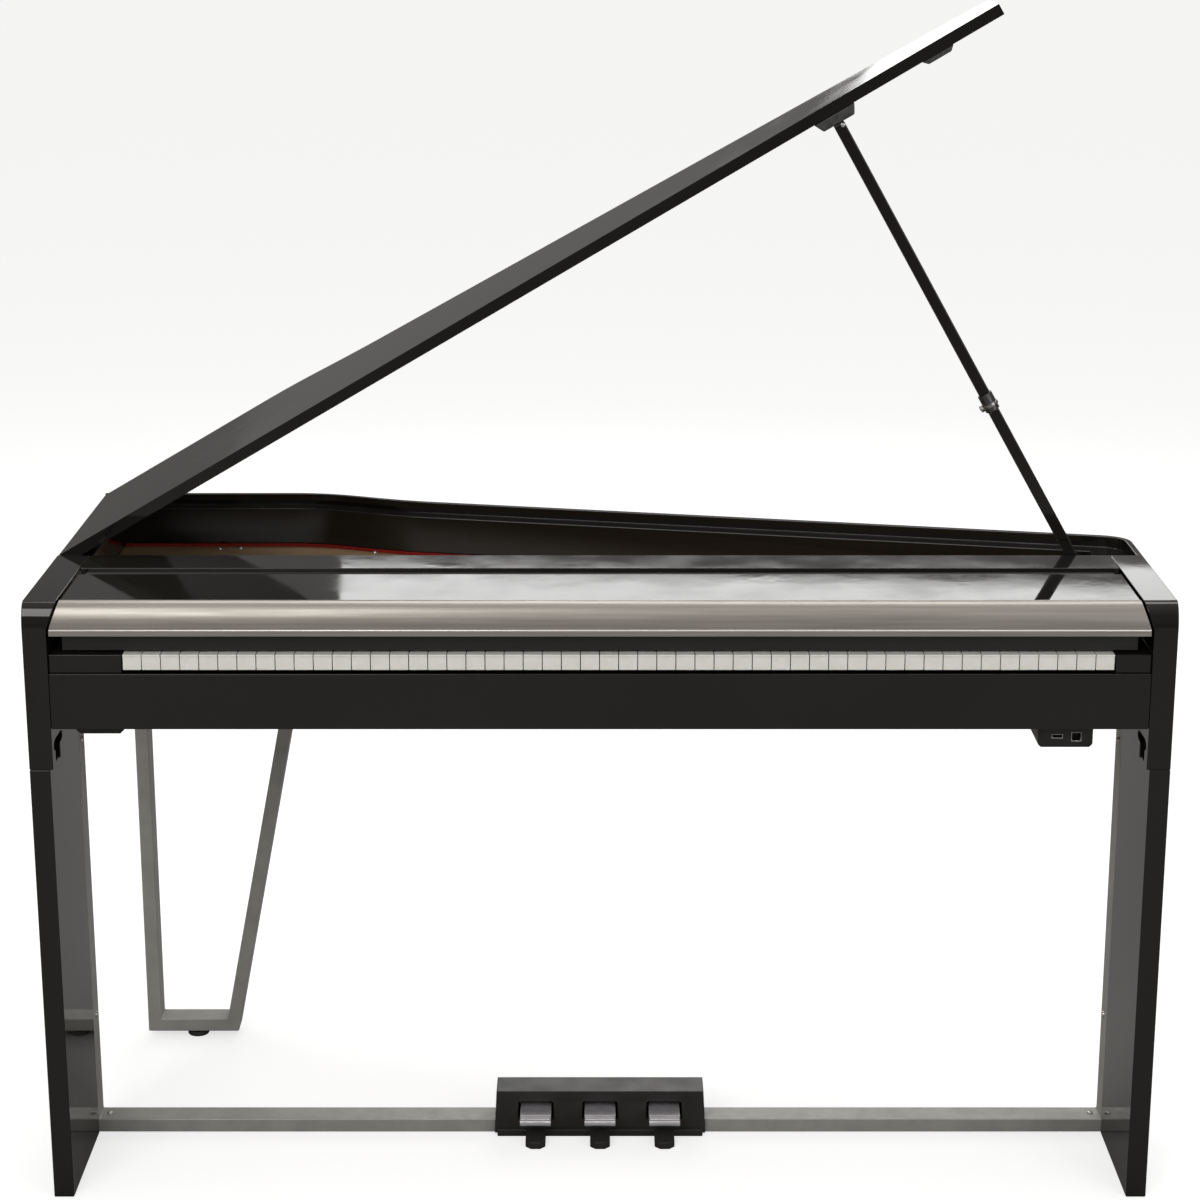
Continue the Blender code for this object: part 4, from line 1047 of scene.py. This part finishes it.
post_inner = 0.685
for side, label in ((-1, "left"), (1, "right")):
    for level, height in enumerate((0.560, 0.167)):
        screw(f"{label}_post_screw_{level}", (side * post_inner, back(0.2043), height), (-side, 0, 0),
              0.0046, "stand_frame")
    screw(f"{label}_rail_screw", (side * (post_inner - 0.012), back(0.2043), 0.0200), (0, 0, 1),
          0.0040, "stand_frame")
for index, (x, depth) in enumerate(((-0.5425, 0.5480), (-0.5138, 0.5530), (-0.3196, 0.5290), (-0.080, 0.470),
                                    (0.170, 0.415), (-0.640, 0.300))):
    screw(f"soundboard_screw_{index}", (x, back(depth), SOUNDBOARD_TOP), (0, 0, 1), 0.0036,
          "prop_foot_bracket")
print("screws", 12)

# %% [markdown]
# ## Boxes under the case
#
# The box at the treble end has two sockets in its front, each with a thin silver rim.

# %% Port box
PORT_FRONT = 0.030
port_box = soften("port_box", 0.0016)
settled(port_box)
sockets = (("slot_socket", 0.5731, 0.6215, 0.0064, 0.0020), ("square_socket", 0.5969, 0.6208, 0.0056, 0.0052))


def rectangle(x, z, half_wide, half_tall):
    return [(x - half_wide, z - half_tall), (x + half_wide, z - half_tall),
            (x + half_wide, z + half_tall), (x - half_wide, z + half_tall)]


for label, x, z, half_wide, half_tall in sockets:
    hole = rectangle(x, z, half_wide, half_tall)
    carve(port_box, prism_piece("hole", hole, "Y", back(PORT_FRONT - 0.004), back(PORT_FRONT + 0.012), socket_dark))
    ring = rectangle(x, z, half_wide + 0.0007, half_tall + 0.0007)
    rim_piece = prism_piece(label + "_rim", ring, "Y", back(PORT_FRONT - 0.0003), back(PORT_FRONT + 0.004), silver_line)
    carve(rim_piece, prism_piece("hole", hole, "Y", back(PORT_FRONT - 0.004), back(PORT_FRONT + 0.012), silver_line))
    attach(rim_piece, "port_box")
port_box.data.shade_smooth()
port_box.data.set_sharp_from_angle(angle=math.radians(30))
print("sockets", [entry[0] for entry in sockets])

# %% [markdown]
# ## Knob, speakers and foot
#
# Round parts are turned. The knob has fine ribs for the fingers. Each speaker shows its paper cone
# through a hole in the bottom board. The rear foot is a rubber disc.

# %% Knob
KNOB_RIBS = 36
knob_low, knob_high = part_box("volume_knob")
knob_middle = (knob_low + knob_high) / 2
knob_radius = (knob_high.x - knob_low.x) / 2
outline = []
for i in range(KNOB_RIBS * 2):
    radius = knob_radius if i % 2 == 0 else knob_radius - 0.0004
    angle = math.pi * i / KNOB_RIBS
    outline.append((knob_middle.x + radius * math.cos(angle), knob_middle.y + radius * math.sin(angle)))
knob = prism_piece("volume_knob_finished", outline, "Z", knob_low.z, knob_high.z, silver)
mark = block_piece("mark", (knob_middle.x - 0.0005, knob_middle.y + 0.0035, knob_high.z - 0.0006),
                   (knob_middle.x + 0.0005, knob_middle.y + 0.0080, knob_high.z + 0.001), silver)
carve(knob, mark)
tidy_faces(knob.data)
round_edges(knob, 0.0005, 2, angle=50)
seat(knob, "volume_knob")
print("knob radius", round(knob_radius, 4))

# %% Speakers
for side in ("left", "right"):
    low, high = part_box(f"{side}_speaker")
    middle = (low + high) / 2
    radius = (high.x - low.x) / 2
    profile = [
        (0, 0.0085), (0.006, 0.0075), (0.012, 0.0085), (0.0145, 0.0130), (0.042, 0.0045), (0.0445, 0.0020),
        (0.0480, 0.0012), (0.0510, 0.0030), (0.0530, 0.0004), (radius, 0.0004), (radius, 0.0030),
        (0.0540, 0.0045), (0.0490, 0.0120), (0.0380, 0.0330), (0.0362, 0.0350), (0.0362, 0.0530),
        (0.0345, 0.0548), (0, 0.0550),
    ]
    speaker = turned(f"{side}_speaker_finished", profile, (middle.x, middle.y, low.z), (0, 0, 1), cone_paper, 64)
    seat(speaker, f"{side}_speaker")
print("speaker radius", round(radius, 3))

# %% Rear foot
low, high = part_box("rear_foot")
middle = (low + high) / 2
tall = high.z - low.z
radius = (high.x - low.x) / 2
profile = [(0, 0.0012), (radius * 0.70, 0.0012), (radius * 0.74, 0), (radius * 0.95, 0), (radius, 0.0010),
           (radius, tall * 0.55), (radius * 0.96, tall * 0.66), (radius * 0.42, tall * 0.70),
           (radius * 0.40, tall), (0, tall)]
foot = turned("rear_foot_finished", profile, (middle.x, middle.y, low.z), (0, 0, 1), rubber, 48)
seat(foot, "rear_foot")
print("foot height", round(tall, 4))

# %% [markdown]
# ## Floor and light
#
# The photograph has a white ground. The floor is pale, and only what the camera sees of it directly
# is lifted to white, so that it adds no light of its own to the piano. Black lacquer shows whatever it
# mirrors, so the world that it mirrors is a soft grey room that is brighter overhead.

# %% World
def make_world():
    world = bpy.data.worlds.new("soft_room")
    bpy.context.scene.world = world
    world.use_nodes = True
    tree = world.node_tree
    tree.nodes.clear()
    output = tree.nodes.new("ShaderNodeOutputWorld")
    path = tree.nodes.new("ShaderNodeLightPath")
    place = tree.nodes.new("ShaderNodeTexCoord")
    parts = tree.nodes.new("ShaderNodeSeparateXYZ")
    tree.links.new(place.outputs["Generated"], parts.inputs[0])
    height = tree.nodes.new("ShaderNodeMapRange")
    height.inputs["From Min"].default_value = 0.35
    height.inputs["From Max"].default_value = 0.95
    height.inputs["To Min"].default_value = 0.20
    height.inputs["To Max"].default_value = 0.62
    tree.links.new(parts.outputs["Z"], height.inputs["Value"])
    mirrored = tree.nodes.new("ShaderNodeBackground")
    mirrored.inputs["Color"].default_value = (1.0, 0.97, 0.93, 1)
    tree.links.new(height.outputs[0], mirrored.inputs["Strength"])
    ambient = tree.nodes.new("ShaderNodeBackground")
    ambient.inputs["Color"].default_value = (1.0, 0.99, 0.97, 1)
    ambient.inputs["Strength"].default_value = 0.50
    white = tree.nodes.new("ShaderNodeBackground")
    white.inputs["Color"].default_value = (1, 1, 1, 1)
    white.inputs["Strength"].default_value = 1.0
    glossy_mix = tree.nodes.new("ShaderNodeMixShader")
    tree.links.new(path.outputs["Is Glossy Ray"], glossy_mix.inputs[0])
    tree.links.new(ambient.outputs[0], glossy_mix.inputs[1])
    tree.links.new(mirrored.outputs[0], glossy_mix.inputs[2])
    seen = tree.nodes.new("ShaderNodeMath")
    seen.operation = "MAXIMUM"
    tree.links.new(path.outputs["Is Camera Ray"], seen.inputs[0])
    tree.links.new(path.outputs["Is Transmission Ray"], seen.inputs[1])
    camera_mix = tree.nodes.new("ShaderNodeMixShader")
    tree.links.new(seen.outputs[0], camera_mix.inputs[0])
    tree.links.new(glossy_mix.outputs[0], camera_mix.inputs[1])
    tree.links.new(white.outputs[0], camera_mix.inputs[2])
    tree.links.new(camera_mix.outputs[0], output.inputs["Surface"])


make_world()

# %% Floor
def make_floor():
    material = bpy.data.materials.new("pale_floor")
    material.use_nodes = True
    tree = material.node_tree
    tree.nodes.clear()
    output = tree.nodes.new("ShaderNodeOutputMaterial")
    plain = tree.nodes.new("ShaderNodeBsdfDiffuse")
    plain.inputs["Color"].default_value = (0.28, 0.275, 0.265, 1)
    shaded = tree.nodes.new("ShaderNodeBsdfDiffuse")
    shaded.inputs["Color"].default_value = (0.50, 0.50, 0.50, 1)
    lifted = tree.nodes.new("ShaderNodeEmission")
    lifted.inputs["Strength"].default_value = 0.66
    both = tree.nodes.new("ShaderNodeAddShader")
    tree.links.new(shaded.outputs[0], both.inputs[0])
    tree.links.new(lifted.outputs[0], both.inputs[1])
    path = tree.nodes.new("ShaderNodeLightPath")
    mix = tree.nodes.new("ShaderNodeMixShader")
    tree.links.new(path.outputs["Is Camera Ray"], mix.inputs[0])
    tree.links.new(plain.outputs[0], mix.inputs[1])
    tree.links.new(both.outputs[0], mix.inputs[2])
    tree.links.new(mix.outputs[0], output.inputs["Surface"])
    bm = bmesh.new()
    bmesh.ops.create_circle(bm, cap_ends=True, segments=96, radius=60)
    floor = new_piece("floor", bm, material, smooth=False)


make_floor()


# %% Lamps
def lamp(name, place, aim, size, power, color=(1, 1, 1)):
    data = bpy.data.lights.new(name, "AREA")
    data.shape = "RECTANGLE"
    data.size, data.size_y = size
    data.energy = power
    data.color = color
    made = bpy.data.objects.new(name, data)
    made.location = place
    made.rotation_euler = (Vector(aim) - Vector(place)).to_track_quat("-Z", "Y").to_euler()
    bpy.context.scene.collection.objects.link(made)
    return made


lamp("front_window", (-1.6, -3.6, 3.0), (0, -0.1, 0.7), (2.4, 2.0), 70, (1.0, 0.985, 0.96))
lamp("front_fill", (2.6, -3.0, 1.9), (0, -0.1, 0.6), (2.0, 1.8), 28, (0.97, 0.985, 1.0))
lamp("overhead", (0.2, 0.4, 4.2), (0, 0, 0.6), (3.2, 1.6), 60)
lamp("behind", (0.4, 3.6, 2.6), (0, 0, 0.6), (2.4, 1.6), 30)
